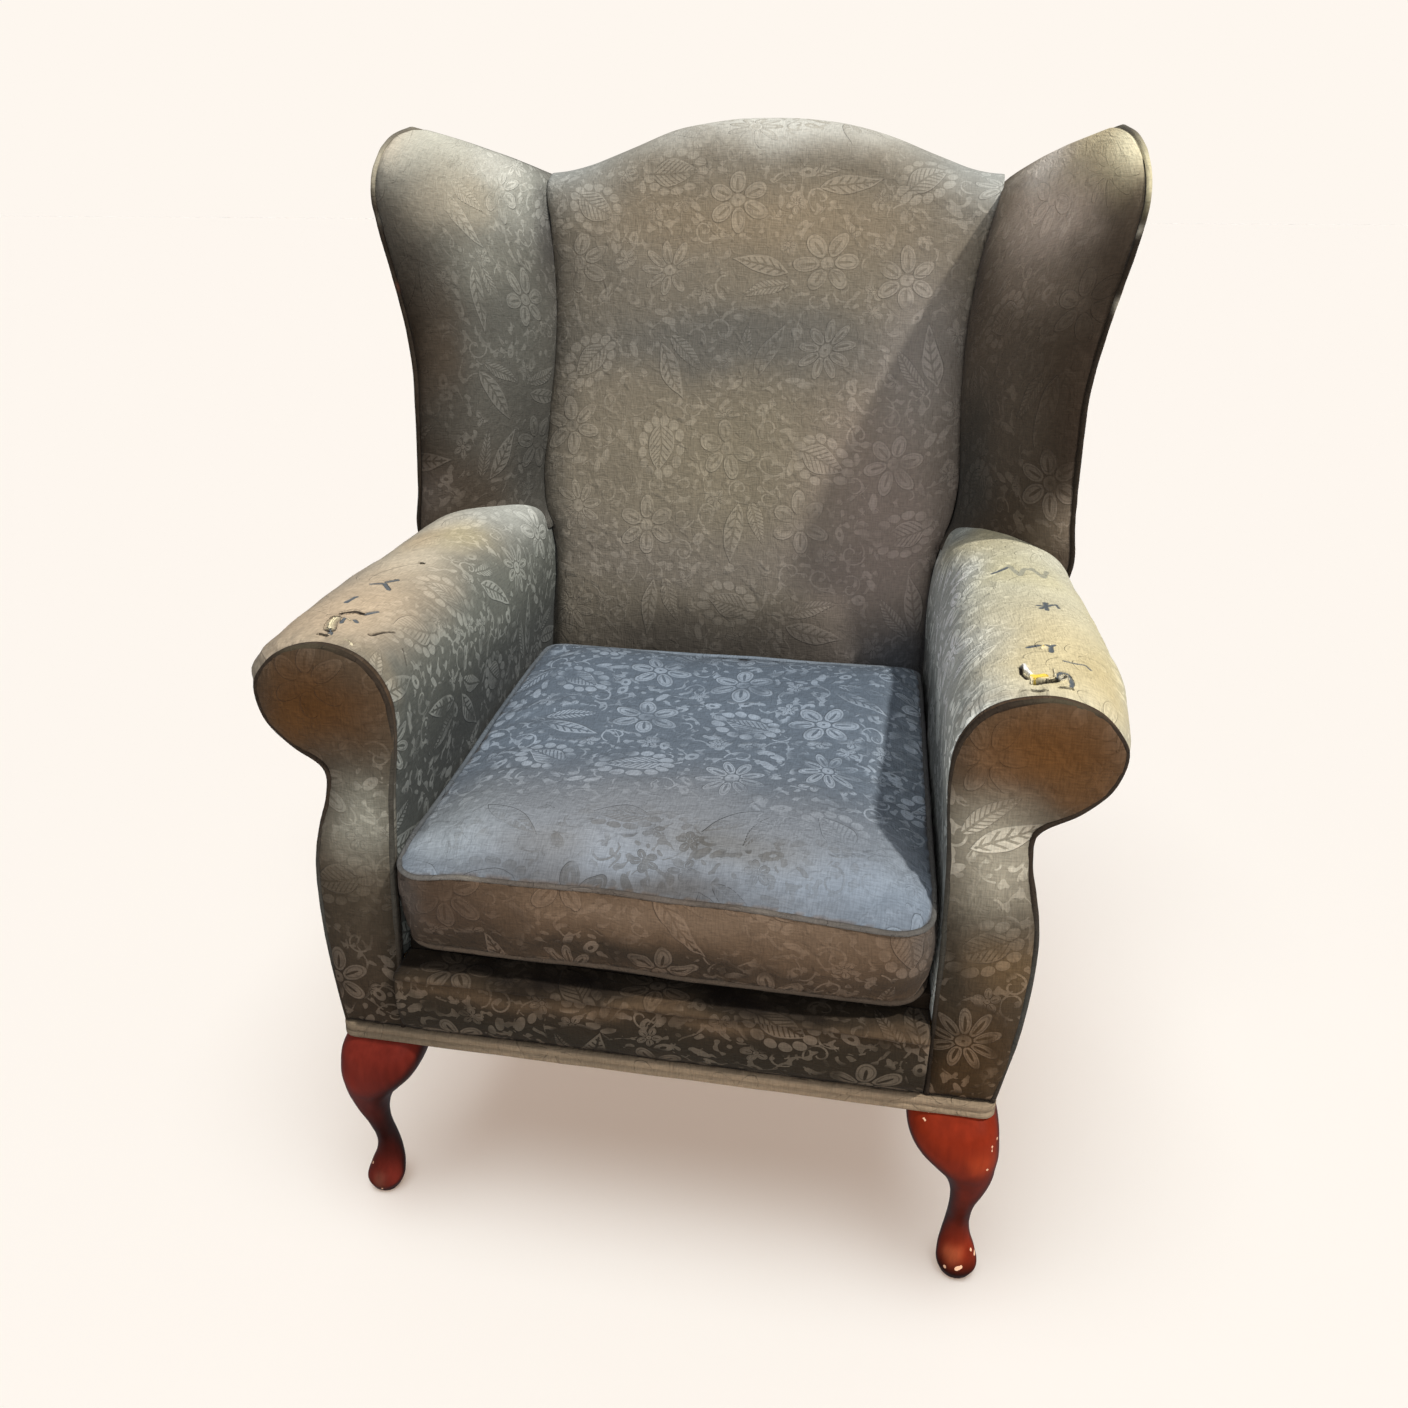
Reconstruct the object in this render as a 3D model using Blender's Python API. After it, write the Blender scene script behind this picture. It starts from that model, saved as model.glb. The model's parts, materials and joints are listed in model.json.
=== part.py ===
"""Wing armchair with scroll arms, a loose seat cushion and cabriole front legs.

Metres, +Z up, +X to the right of someone looking at its front, -Y towards them. The origin is on the
floor, in the middle of the chair's width and depth. Everything on the right is built once, and its
mirror image stands on the left.
"""

import math

import bmesh
import bpy
import numpy as np

# --- driving dimensions ---------------------------------------------------------------------------
GAP = 0.0003                # between two pieces that touch
PIPING_R = 0.0026           # piping cord, sewn into the edges
PIPING_OUT = 0.0032         # from a sewn edge to the middle of its piping

BASE_BOTTOM = 0.2220        # underside of the band round the base
BASE_TOP = 0.2362           # top of that band
FRAME_BOTTOM = 0.2265       # underside of the wooden seat frame
RAIL_TOP = 0.3000           # front and back seat rails
SIDE_RAIL_TOP = 0.3097
RAIL_THICK = 0.0280         # seat rails, front to back
CLEAR = 0.0075              # from the outside of the base to the side rail in it
SPRING_R = 0.0018
DECK_TOP = 0.3290
CUSHION_BOTTOM = DECK_TOP + GAP

FACING_FRONT = -0.3850      # front of the padded arm facings
FACING_BACK = -0.3720
ARM_FRONT = FACING_BACK + GAP
RAIL_FRONT = -0.3697
SEAT_FRONT = -0.4050        # rounded lip of the front border

BACK_FRONT_Y = 0.1150       # front of the back padding at BACK_REF_Z
BACK_REF_Z = 0.4700
BACK_RECLINE = 0.310        # metres back for each metre up, padding
REAR_Y = 0.4100             # rear of the chair at REAR_REF_Z
REAR_REF_Z = 1.0330
REAR_RECLINE = 0.240        # the same, outside back
PANEL = 0.0040              # board and cloth of an outside panel
POST_DEPTH = 0.0400
POST_IN, POST_OUT = 0.2220, 0.2515
POST_TOP = 0.9300

CREST_RISE = 0.0600         # hump of the back above its shoulders
SHOULDER_Z = 1.0040
SHOULDER_X = 0.2740
CREST_PAD = 0.0340          # padding over the crest rail

OUT_FRONT, OUT_REAR = 0.3065, 0.2900    # half width of the base at its front and rear
ARM_RAIL_BOTTOM, ARM_RAIL_TOP = 0.4685, 0.5032
ARM_PUFF = 0.0150           # how far the roll swells past its facing
ROLL_WIDTH = 0.0950         # from the arm's wood to the edge of its roll
ROLL_END = 0.35             # share of that left where the roll dies into the back
ARM_STEP = 0.0262           # outwards, so that the arm passes the back post
BORDER_HALF = 0.2390        # half the width of the front border
ARM_BOTTOM = 0.3100
PAD_BOTTOM = RAIL_TOP + 2 * SPRING_R + 2 * GAP
BACK_CROWN = 0.0140         # how far the back swells between the arms
ARM_INNER_X, ARM_OUTER_X = 0.2700, 0.2965   # wood inside the arm
WING_BOTTOM = 0.6020
WING_TOP_FRONT, WING_TOP_REAR = 1.0408, 0.9980
WING_SWELL = 0.0280         # padding of the wing, at its fullest
WING_HOLLOW = 0.0120        # how far the outside of the wing curves in
WING_LIP = 0.12             # share of the wing whose padding wraps the front of its frame
WING_SHARES = (0.0, WING_LIP, 0.30, 0.45, 0.62, 0.82, 1.0)
WING_FRAME_TOP = 0.915      # share of the wing's height
WING_PLY = 0.0120

WOOD, MAHOGANY, CLOTH, PIPING, BAND = "frame_beech", "leg_mahogany", "jacquard", "piping", "base_band"
HESSIAN, STEEL, RUBBER, NYLON = "dust_cloth", "spring_steel", "webbing", "glide"
FINISHES = {
    WOOD: ("#b08a5c", 0.7, 0.0), MAHOGANY: ("#7a2413", 0.22, 0.0), CLOTH: ("#5f6a72", 0.85, 0.0),
    PIPING: ("#3b3a38", 0.8, 0.0), BAND: ("#7d7364", 0.9, 0.0), HESSIAN: ("#3a3734", 0.95, 0.0),
    STEEL: ("#8b8d90", 0.35, 1.0), RUBBER: ("#6b5a44", 0.9, 0.0), NYLON: ("#2b1c16", 0.5, 0.0),
}

# Outline of the arm in front view (x, z): up the inner face, over the scroll and back to the crease
# under it. One at the front of the arm, one where it meets the back.
SCROLL_FRONT = [
    (0.2455, 0.4000), (0.2420, 0.4800), (0.2368, 0.5450), (0.2425, 0.5830), (0.2650, 0.6110),
    (0.3010, 0.6215), (0.3370, 0.6130), (0.3590, 0.5930), (0.3650, 0.5740), (0.3560, 0.5460),
    (0.3340, 0.5240), (0.3110, 0.5100),
]
SCROLL_REAR = [
    (0.2270, 0.4000), (0.2268, 0.4800), (0.2270, 0.5450), (0.2332, 0.5920), (0.2500, 0.6250),
    (0.2950, 0.6420), (0.3380, 0.6330), (0.3620, 0.6080), (0.3680, 0.5860), (0.3600, 0.5600),
    (0.3360, 0.5380), (0.3090, 0.5220),
]
# Outer edge of the arm facing from the crease down to the base.
FACING_SIDE = [
    (0.3035, 0.4970), (0.3065, 0.4730), (0.3125, 0.4540), (0.3180, 0.4320), (0.3215, 0.4070),
    (0.3222, 0.3800), (0.3210, 0.3500), (0.3180, 0.3150), (0.3130, 0.2730), (0.3070, BASE_TOP + GAP),
]
# Front edge of the wing, by height: (z, x, y).
WING_EDGE = [
    (0.585, 0.3600, 0.060), (0.612, 0.3690, 0.058), (0.667, 0.3645, 0.053), (0.755, 0.3610, 0.049),
    (0.800, 0.3610, 0.049), (0.837, 0.3660, 0.052), (0.876, 0.3730, 0.050), (0.914, 0.3800, 0.044),
    (0.951, 0.3860, 0.035), (0.988, 0.3885, 0.028), (1.012, 0.3850, 0.033), (1.030, 0.3790, 0.047),
    (1.041, 0.3720, 0.066), (1.047, 0.3650, 0.090),
]
# Half width of the back between the wings, by height.
BACK_HALF = [
    (0.300, 0.2262), (0.560, 0.2262), (0.592, 0.2288), (0.625, 0.2440), (0.655, 0.2490),
    (0.720, 0.2460), (0.800, 0.2430), (0.880, 0.2470), (0.940, 0.2570), (1.005, 0.2720),
    (1.100, 0.2720),
]
# Heights at which the back and the wings beside it are shaped.
BACK_LEVELS = (PAD_BOTTOM, 0.450, 0.560, 0.592, 0.625, 0.655, 0.720, 0.800, 0.880, 0.940)
BACK_SHARES = (0.12, 0.36, 0.58, 0.78, 0.97, 1.0)
WING_STEPS = sorted([(z - WING_BOTTOM) / (WING_TOP_REAR - WING_BOTTOM) for z in BACK_LEVELS[4:]]
                    + [0.0, 0.25, 0.42, 0.58, 0.64, 0.79, WING_FRAME_TOP, 0.95, 0.978, 0.993, 1.0])
# Cabriole leg, from its top down: (z, centre x, centre y, half width x, half width y, squareness).
LEG_SECTIONS = [
    (0.2242, 0.2645, -0.3430, 0.0360, 0.0370, 5.0), (0.2214, 0.2645, -0.3430, 0.0360, 0.0370, 5.0),
    (0.2206, 0.2710, -0.3560, 0.0420, 0.0400, 3.0), (0.2050, 0.2735, -0.3600, 0.0415, 0.0410, 2.8),
    (0.1900, 0.2767, -0.3630, 0.0402, 0.0402, 2.6), (0.1750, 0.2816, -0.3640, 0.0366, 0.0370, 2.5),
    (0.1600, 0.2876, -0.3640, 0.0298, 0.0315, 2.4), (0.1450, 0.2932, -0.3620, 0.0235, 0.0252, 2.3),
    (0.1300, 0.2956, -0.3595, 0.0187, 0.0200, 2.2), (0.1150, 0.2955, -0.3565, 0.0148, 0.0160, 2.2),
    (0.1000, 0.2942, -0.3520, 0.0122, 0.0132, 2.1), (0.0850, 0.2936, -0.3455, 0.0112, 0.0120, 2.1),
    (0.0700, 0.2936, -0.3380, 0.0112, 0.0118, 2.0), (0.0550, 0.2935, -0.3325, 0.0118, 0.0124, 2.0),
    (0.0400, 0.2940, -0.3305, 0.0140, 0.0145, 2.0), (0.0250, 0.2957, -0.3335, 0.0180, 0.0185, 2.0),
    (0.0120, 0.2970, -0.3385, 0.0192, 0.0200, 2.0), (0.0040, 0.2965, -0.3390, 0.0150, 0.0160, 2.0),
]
# Back post, from the foot up: (z, inner x, outer x, front y, rear y); above the seat it leans back.
POST_FOOT = [(0.0040, 0.2260, 0.2520, 0.2920, 0.3160), (0.1200, 0.2240, 0.2530, 0.2260, 0.2560)]


# --- curves that several pieces share ----------------------------------------------------------------
def lerp(a, b, t):
    return a + (b - a) * t


def keyed(keys, z, column=1):
    """The value in this column of a list of rows, at height z."""
    rows = np.array(keys)
    return float(np.interp(z, rows[:, 0], rows[:, column]))


def smoothstep(low, high, value):
    t = min(max((value - low) / (high - low), 0.0), 1.0)
    return t * t * (3 - 2 * t)


def rounded(points, steps=2):
    """An open Catmull-Rom curve through the points, with this many spans between each two."""
    p = [np.array(q, float) for q in points]
    p = [2 * p[0] - p[1], *p, 2 * p[-1] - p[-2]]
    made = []
    for a, b, c, d in zip(p, p[1:], p[2:], p[3:]):
        for t in (k / steps for k in range(steps)):
            made.append(0.5 * (2 * b + (c - a) * t + (2 * a - 5 * b + 4 * c - d) * t**2
                               + (3 * b - a - 3 * c + d) * t**3))
    return made + [p[-2]]


def back_front(z):
    return BACK_FRONT_Y + (z - BACK_REF_Z) * BACK_RECLINE


def rear(z):
    return REAR_Y + (z - REAR_REF_Z) * REAR_RECLINE


def post_rear(z):
    return rear(z) - PANEL - GAP


def post_front(z):
    return post_rear(z) - POST_DEPTH


def back_half(z):
    return keyed(BACK_HALF, z)


def crest(x):
    """Height of the back's top edge across its width."""
    u = min(abs(x) / SHOULDER_X, 1.0)
    return SHOULDER_Z + CREST_RISE * (1 + math.cos(math.pi * u**1.4)) / 2


def base_outer(y):
    return lerp(OUT_FRONT, OUT_REAR, (y - FACING_FRONT) / (rear(BASE_TOP) - FACING_FRONT))


def facing_outline():
    """The whole arm facing in front view, anticlockwise from its inner bottom corner."""
    inner = [(0.2455, BASE_TOP + GAP), (0.2455, 0.3200)]
    return [np.array(p) for p in inner] + rounded(SCROLL_FRONT + FACING_SIDE)


# --- scene -----------------------------------------------------------------------------------------
def clear_scene():
    for obj in list(bpy.data.objects):
        bpy.data.objects.remove(obj)


def new_collection(name):
    made = bpy.data.collections.new(name)
    bpy.context.scene.collection.children.link(made)
    return made


def linear(hex_colour):
    """An sRGB hex colour as linear RGBA."""
    parts = [int(hex_colour[i:i + 2], 16) / 255 for i in (1, 3, 5)]
    return [c / 12.92 if c <= 0.04045 else ((c + 0.055) / 1.055) ** 2.4 for c in parts] + [1.0]


def make_finishes():
    made = {}
    for name, (colour, roughness, metallic) in FINISHES.items():
        made[name] = bpy.data.materials.new(name)
        made[name].use_nodes = True
        made[name].diffuse_color = linear(colour)
        shader = made[name].node_tree.nodes["Principled BSDF"].inputs
        shader["Base Color"].default_value = linear(colour)
        shader["Roughness"].default_value = roughness
        shader["Metallic"].default_value = metallic
    return made


def new_object(name, data, finish, collection=None):
    made = bpy.data.objects.new(name, data)
    (collection or CHAIR).objects.link(made)
    data.materials.append(MATERIALS[finish])
    return made


def loft(name, rings, finish, collection=None, folded=False):
    """A closed solid through rings of the same number of points.

    Its ends are flat, or, when folded, strips across from each point to its partner on the other side.
    """
    bm = bmesh.new()
    rows = [[bm.verts.new(tuple(map(float, p))) for p in ring] for ring in rings]
    for low, high in zip(rows, rows[1:]):
        for i in range(len(low)):
            bm.faces.new((low[i - 1], low[i], high[i]))
            bm.faces.new((low[i - 1], high[i], high[i - 1]))
    for row in (rows[0], rows[-1]):
        if folded:
            for i in range(len(row) // 2 - 1):
                bm.faces.new((row[i], row[i + 1], row[-2 - i], row[-1 - i]))
        else:
            bm.faces.new(row)
    bmesh.ops.recalc_face_normals(bm, faces=bm.faces)
    mesh = bpy.data.meshes.new(name)
    bm.to_mesh(mesh)
    bm.free()
    mesh.shade_smooth()
    mesh.set_sharp_from_angle(angle=math.radians(40))
    return new_object(name, mesh, finish, collection)


def beam(name, ends, finish=WOOD):
    """Sawn timber through rectangles, each ((x0, x1), (y0, y1), z) or with z as a pair and y single."""
    rings = []
    for x, y, z in ends:
        if np.ndim(z):
            rings.append([(x[0], y, z[0]), (x[1], y, z[0]), (x[1], y, z[1]), (x[0], y, z[1])])
        else:
            rings.append([(x[0], y[0], z), (x[1], y[0], z), (x[1], y[1], z), (x[0], y[1], z)])
    return loft(name, rings, finish)


def tube(name, points, radius, finish, closed=False, resolution=1):
    """A cord or a wire along these points."""
    curve = bpy.data.curves.new(name, "CURVE")
    curve.dimensions = "3D"
    curve.bevel_depth = radius
    curve.bevel_resolution = resolution
    curve.use_fill_caps = not closed
    line = curve.splines.new("POLY")
    line.points.add(len(points) - 1)
    line.use_cyclic_u = closed
    for point, co in zip(line.points, points):
        point.co = (*map(float, co), 1.0)
    return new_object(name, curve, finish)


def plate(name, outlines, thickness, finish, bevel=0.0):
    """A flat sheet from closed outlines in X and Y; the second outline is a hole in the first."""
    curve = bpy.data.curves.new(name, "CURVE")
    curve.dimensions = "2D"
    curve.fill_mode = "BOTH"
    curve.extrude = thickness / 2 - bevel
    curve.bevel_depth = bevel
    curve.bevel_resolution = 1
    curve.offset = -bevel
    for outline in outlines:
        line = curve.splines.new("POLY")
        line.points.add(len(outline) - 1)
        line.use_cyclic_u = True
        for point, co in zip(line.points, outline):
            point.co = (float(co[0]), float(co[1]), 0.0, 1.0)
    return new_object(name, curve, finish)


def cut(obj, cutter):
    modifier = obj.modifiers.new("cut_" + cutter.name, "BOOLEAN")
    modifier.operation = "DIFFERENCE"
    modifier.object = cutter


def as_cutter(obj):
    obj.hide_render = True
    obj.display_type = "WIRE"
    return obj


def mirror_pair(obj, finish):
    """Renames this right-hand piece and makes its mirror image on the left."""
    name = obj.name
    obj.name = name + "_right"
    bpy.context.view_layer.update()
    seen = obj.evaluated_get(bpy.context.evaluated_depsgraph_get())
    mesh = bpy.data.meshes.new_from_object(seen)
    mesh.transform(obj.matrix_world)
    bm = bmesh.new()
    bm.from_mesh(mesh)
    bmesh.ops.remove_doubles(bm, verts=bm.verts, dist=1e-6)
    bmesh.ops.scale(bm, vec=(-1, 1, 1), verts=bm.verts)
    bmesh.ops.reverse_faces(bm, faces=bm.faces)
    bm.to_mesh(mesh)
    bm.free()
    mesh.materials.clear()
    return new_object(name + "_left", mesh, finish)


# --- seat frame ------------------------------------------------------------------------------------
def seat_frame():
    half = ARM_INNER_X - 0.001
    beam("front_rail", [((-half, half), (RAIL_FRONT, RAIL_FRONT + RAIL_THICK), z)
                        for z in (FRAME_BOTTOM, RAIL_TOP)])
    back_y = (post_front(FRAME_BOTTOM) + 0.004, post_front(FRAME_BOTTOM) + 0.034)
    inner = POST_IN - GAP
    beam("back_rail", [((-inner, inner), back_y, z) for z in (FRAME_BOTTOM, RAIL_TOP)])
    heights = (FRAME_BOTTOM, SIDE_RAIL_TOP)
    inner = (ARM_INNER_X, ARM_INNER_X - 0.004, POST_OUT + GAP, POST_OUT + GAP)
    along = (ARM_FRONT, 0.0, post_front(FRAME_BOTTOM) - 0.004, post_rear(FRAME_BOTTOM) - GAP)
    side = beam("side_rail", [((x, base_outer(y) - CLEAR), y, heights) for x, y in zip(inner, along)])
    mirror_pair(side, WOOD)


def corner_blocks():
    """Glued triangles that stiffen the corners of the seat frame."""
    leg, top = 0.052, 0.2960
    front = RAIL_FRONT + RAIL_THICK + GAP
    back = post_front(FRAME_BOTTOM) - GAP
    for name, y, way in (("corner_block_front", front, 1), ("corner_block_back", back, -1)):
        x = ARM_INNER_X - 0.0015 if way > 0 else POST_OUT - 0.0010
        shape = [(x, y), (x - leg, y), (x - 0.002, y + way * leg)]
        block = loft(name, [[(*p, z) for p in shape] for z in (FRAME_BOTTOM, top)], WOOD)
        mirror_pair(block, WOOD)


def back_posts():
    """Each rear leg and back upright is sawn from one piece."""
    rings = [((x0, x1), (y0, y1), z) for z, x0, x1, y0, y1 in POST_FOOT]
    rings += [((POST_IN, POST_OUT), (post_front(z), post_rear(z)), z) for z in (FRAME_BOTTOM, POST_TOP)]
    post = beam("back_post", rings, MAHOGANY)
    mirror_pair(post, MAHOGANY)


def back_rails():
    """Rails between and above the posts, leaning with them."""
    inner = POST_IN - GAP
    beam("lower_back_rail", [((-inner, inner), (post_front(z) + 0.008, post_front(z) + 0.030), z)
                             for z in (0.400, 0.460)])
    low = POST_TOP + GAP
    shares = BACK_SHARES[:-1]
    rings = []
    for share in [-t for t in reversed(shares)] + list(shares):
        high = crest(share * SHOULDER_X) - CREST_PAD - GAP
        x0, x1 = share * back_half(low), share * back_half(high)
        rings.append([(x0, post_front(low), low), (x0, post_rear(low) - GAP, low),
                      (x1, post_rear(high) - GAP, high), (x1, post_front(high), high)])
    loft("crest_rail", rings, WOOD)


def arm_wood():
    """The front stump and the arm rail on it. The rail runs back past the outside of the post."""
    post = beam("arm_post", [((ARM_INNER_X, ARM_OUTER_X), (ARM_FRONT, ARM_FRONT + 0.042), z)
                             for z in (SIDE_RAIL_TOP + GAP, ARM_RAIL_BOTTOM - GAP)])
    mirror_pair(post, WOOD)
    mirror_pair(arm_rail("arm_rail", 0.0), WOOD)


def arm_rail(name, grow):
    z = (ARM_RAIL_BOTTOM - grow, ARM_RAIL_TOP + grow)
    bend, end = post_front(ARM_RAIL_BOTTOM) - 0.004, post_rear(ARM_RAIL_BOTTOM) - GAP + 20 * grow
    beside_post = (POST_OUT + GAP - grow, POST_OUT + 0.0285 + grow)
    return beam(name, [
        ((ARM_INNER_X - grow, ARM_OUTER_X + grow), ARM_FRONT, z),
        ((ARM_INNER_X - grow, ARM_OUTER_X - 0.0065 + grow), 0.0, z),
        (beside_post, bend, z), (beside_post, end, z),
    ])


# --- springs and webbing ------------------------------------------------------------------------------
def zigzag_spring(name, middle):
    """One sinuous wire from the front rail to the back rail."""
    start, end = RAIL_FRONT + 0.0125, post_front(FRAME_BOTTOM) + 0.024
    turns, half, z = 15, 0.021, RAIL_TOP + SPRING_R + GAP
    points = [(middle - half, start, z)]
    for k in range(turns):
        side = half if k % 2 == 0 else -half
        y0, y1 = (lerp(start, end, (k + t) / turns) for t in (0.12, 0.88))
        points += [(middle + side, y0, z), (middle + side, y1, z)]
    tube(name, points, SPRING_R, STEEL, resolution=0)


def springs_and_webbing():
    for k, middle in enumerate((-0.165, -0.055, 0.055, 0.165)):
        zigzag_spring(f"seat_spring_{k + 1}", middle)
    for k, z in enumerate((0.540, 0.680, 0.820)):
        rings = []
        for x in (-POST_OUT + 0.004, POST_OUT - 0.004):
            rings.append([(x, post_front(h) - d, h) for h, d in
                          ((z, 0.0023), (z, GAP), (z + 0.050, GAP), (z + 0.050, 0.0023))])
        loft(f"back_webbing_{k + 1}", rings, RUBBER)


# --- legs ------------------------------------------------------------------------------------------
def front_legs():
    count = 16
    rings = []
    for z, x, y, wide, deep, square in LEG_SECTIONS:
        ring = []
        for k in range(count):
            angle = 2 * math.pi * (k + 0.5) / count
            c, s = math.cos(angle), math.sin(angle)
            reach = (abs(c) ** square + abs(s) ** square) ** (-1 / square)
            ring.append((x + wide * reach * c, y + deep * reach * s, z))
        rings.append(ring)
    mirror_pair(loft("cabriole_leg", rings, MAHOGANY), MAHOGANY)


def glides():
    """Nail-on discs that the four feet stand on."""
    height = 0.0037
    rear_foot = POST_FOOT[0]
    places = {
        "front_glide": (LEG_SECTIONS[-1][1], LEG_SECTIONS[-1][2], 0.0120),
        "rear_glide": ((rear_foot[1] + rear_foot[2]) / 2, (rear_foot[3] + rear_foot[4]) / 2, 0.0100),
    }
    for name, (x, y, radius) in places.items():
        bpy.ops.mesh.primitive_cylinder_add(vertices=20, radius=radius, depth=height)
        disc = bpy.context.object
        disc.name = name
        disc.location = (x, y, height / 2)
        for holder in list(disc.users_collection):
            holder.objects.unlink(disc)
        CHAIR.objects.link(disc)
        disc.data.materials.append(MATERIALS[NYLON])
        mirror_pair(disc, NYLON)


# --- arms ------------------------------------------------------------------------------------------
def arm_form(name, grow, collection=None):
    """Inside arm and scroll: a wall beside the seat that rolls over the arm rail, open underneath."""
    front, back = rounded(SCROLL_FRONT), rounded(SCROLL_REAR)
    rings = []
    for s in (0.0, 0.12, 0.3, 0.48, 0.62, 0.72, 0.80, 0.88, 0.95, 1.0):
        ring = []
        section = [(0.2455, ARM_BOTTOM), *front, (0.3020, 0.5036), (0.2690, 0.5036), (0.2690, ARM_BOTTOM)]
        rear_section = [(0.2270, ARM_BOTTOM), *back, (0.3000, 0.5036), (0.2505, 0.5036),
                        (0.2505, ARM_BOTTOM)]
        for (x0, z0), (x1, z1) in zip(section, rear_section):
            z = lerp(z0, z1, 0.5)
            y = lerp(ARM_FRONT, post_rear(z) - GAP, s)
            blend = min((y - ARM_FRONT) / (back_front(z) - ARM_FRONT), 1.0)
            x, z = lerp(x0, x1, blend), lerp(z0, z1, blend)
            if x > ARM_INNER_X:
                out = x - ARM_INNER_X
                puff = ARM_PUFF * math.sin(math.pi * blend**0.45) * out / ROLL_WIDTH
                x = ARM_INNER_X + out * lerp(1.0, ROLL_END, smoothstep(0.10, 0.30, y)) + puff
                z += 0.45 * puff * (z > 0.560)
            x += ARM_STEP * smoothstep(back_front(z) + 0.015, post_front(z) - 0.025, y) * (x < 0.2600)
            ring.append((x, y, z))
        rings.append(ring)
    if grow:
        rings = [grown(ring, grow) for ring in rings]
        ahead, behind = rings[0], rings[-1]
        rings = [[(x, y - 0.01, z) for x, y, z in ahead], *rings, [(x, y + 0.02, z) for x, y, z in behind]]
    return loft(name, rings, CLOTH, collection)


def grown(ring, by):
    """The same ring, moved outwards by this much in front view."""
    flat = np.array(ring)[:, [0, 2]]
    area = np.sum(flat[:, 0] * np.roll(flat[:, 1], -1) - np.roll(flat[:, 0], -1) * flat[:, 1])
    along = np.roll(flat, -1, 0) - np.roll(flat, 1, 0)
    out = np.stack([along[:, 1], -along[:, 0]], 1) * math.copysign(1, area)
    out /= np.linalg.norm(out, axis=1)[:, None]
    moved = flat + out * by
    return [(p[0], q[1], p[1]) for p, q in zip(moved, ring)]


def arms():
    arm = arm_form("inside_arm", 0.0)
    cut(arm, as_cutter(arm_rail("arm_rail_space", GAP)))
    mirror_pair(arm, CLOTH)


def arm_facings():
    facing = plate("arm_facing", [facing_outline()], FACING_BACK - FACING_FRONT, CLOTH, bevel=0.003)
    facing.rotation_euler = (math.pi / 2, 0, 0)
    facing.location = (0, (FACING_BACK + FACING_FRONT) / 2, 0)
    mirror_pair(facing, CLOTH)
    y = FACING_FRONT + 0.0065
    edge = [(x, y, z) for x, z in facing_outline()]
    path = grown(edge, PIPING_OUT)
    path[0] = (edge[0][0] - PIPING_OUT, y, BASE_TOP + GAP)
    path[-1] = (edge[-1][0] + PIPING_OUT, y, BASE_TOP + GAP)
    mirror_pair(tube("arm_piping", path, PIPING_R, PIPING), PIPING)


def outside_arms():
    """Flat panel under the roll. At the front it follows the curve of the facing."""
    edge = rounded(FACING_SIDE, 1)
    top = (0.3045, 0.5028)
    front = [np.array(top), *edge]
    rings = []
    for s in (0.0, 0.25, 0.55, 1.0):
        outer = []
        for x, z in front:
            y = lerp(ARM_FRONT, post_rear(z), s)
            flat = base_outer(y)
            outer.append((lerp(x, flat, smoothstep(0.0, 0.75, s)), y, z))
        rings.append(outer + [(x - PANEL, y, z) for x, y, z in reversed(outer)])
    mirror_pair(loft("outside_arm", rings, CLOTH), CLOTH)


# --- wings -----------------------------------------------------------------------------------------
def wing_lines(h):
    """Plan of the wing at a share h of its height: front edge, seam with the back, rear outer corner."""
    z_front, z_rear = lerp(WING_BOTTOM, WING_TOP_FRONT, h), lerp(WING_BOTTOM, WING_TOP_REAR, h)
    key_z = lerp(WING_EDGE[0][0], WING_EDGE[-1][0], h)
    edge = np.array([keyed(WING_EDGE, key_z, 1), keyed(WING_EDGE, key_z, 2)])
    corner = np.array([lerp(0.2900, 0.2880, h), post_rear(z_rear) - GAP])
    edge = edge + 0.0062 * (corner - edge) / np.linalg.norm(corner - edge)
    seam = np.array([back_half(z_rear) + 2 * GAP, back_front(z_rear)])
    return edge, seam, corner, z_front, z_rear


def outer_line(h, u, inset=0.0):
    """A point outside the wing, from its front edge (u = 0) to its rear corner, a little hollow."""
    edge, _, corner, z_front, z_rear = wing_lines(h)
    along = (corner - edge) / np.linalg.norm(corner - edge)
    out = np.array([along[1], -along[0]])
    plan = lerp(edge, corner, u) - out * (inset + WING_HOLLOW * math.sin(math.pi * u))
    return np.array([*plan, lerp(z_front, z_rear, u)])


def wing_frame_corners(h):
    """Beside the back post at the rear, and thin behind the padded lip at the front."""
    z = wing_lines(h)[4]
    inner = np.array([max(POST_OUT + GAP, back_half(z) + 0.0020), post_front(z), z])
    inset = PANEL + 2 * GAP
    return inner, outer_line(h, WING_LIP, inset + WING_PLY), outer_line(h, WING_LIP, inset)


def wing_pad_ring(h):
    """The swelling inner face from the front edge to the back, and the flat outer face behind it."""
    _, seam, _, _, z_rear = wing_lines(h)
    close = math.sqrt(max(0.0, 1 - max(0.0, (h - 0.90) / 0.10) ** 2))
    start = outer_line(h, 0.0, PANEL)
    end = np.array([*seam, z_rear])
    face = (seam - start[:2]) / np.linalg.norm(seam - start[:2])
    normal = np.array([-face[1], face[0], 0.0])
    ring = []
    for u in (0.0, 0.06, 0.16, 0.3, 0.45, 0.6, 0.74, 0.88, 1.0):
        inside = lerp(start, end, u) + normal * WING_SWELL * math.sin(math.pi * u**0.65)
        ridge = outer_line(h, 0.62 * u, PANEL + 0.003 * (u > 0))
        ring.append(lerp(ridge, inside, close))
    beside = wing_frame_corners(h)[0] - np.array([0.0, 0.006, 0.0])
    return ring + [lerp(ring[-1], beside, close)] + [outer_line(h, u, PANEL) for u in WING_SHARES[4:0:-1]]


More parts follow.
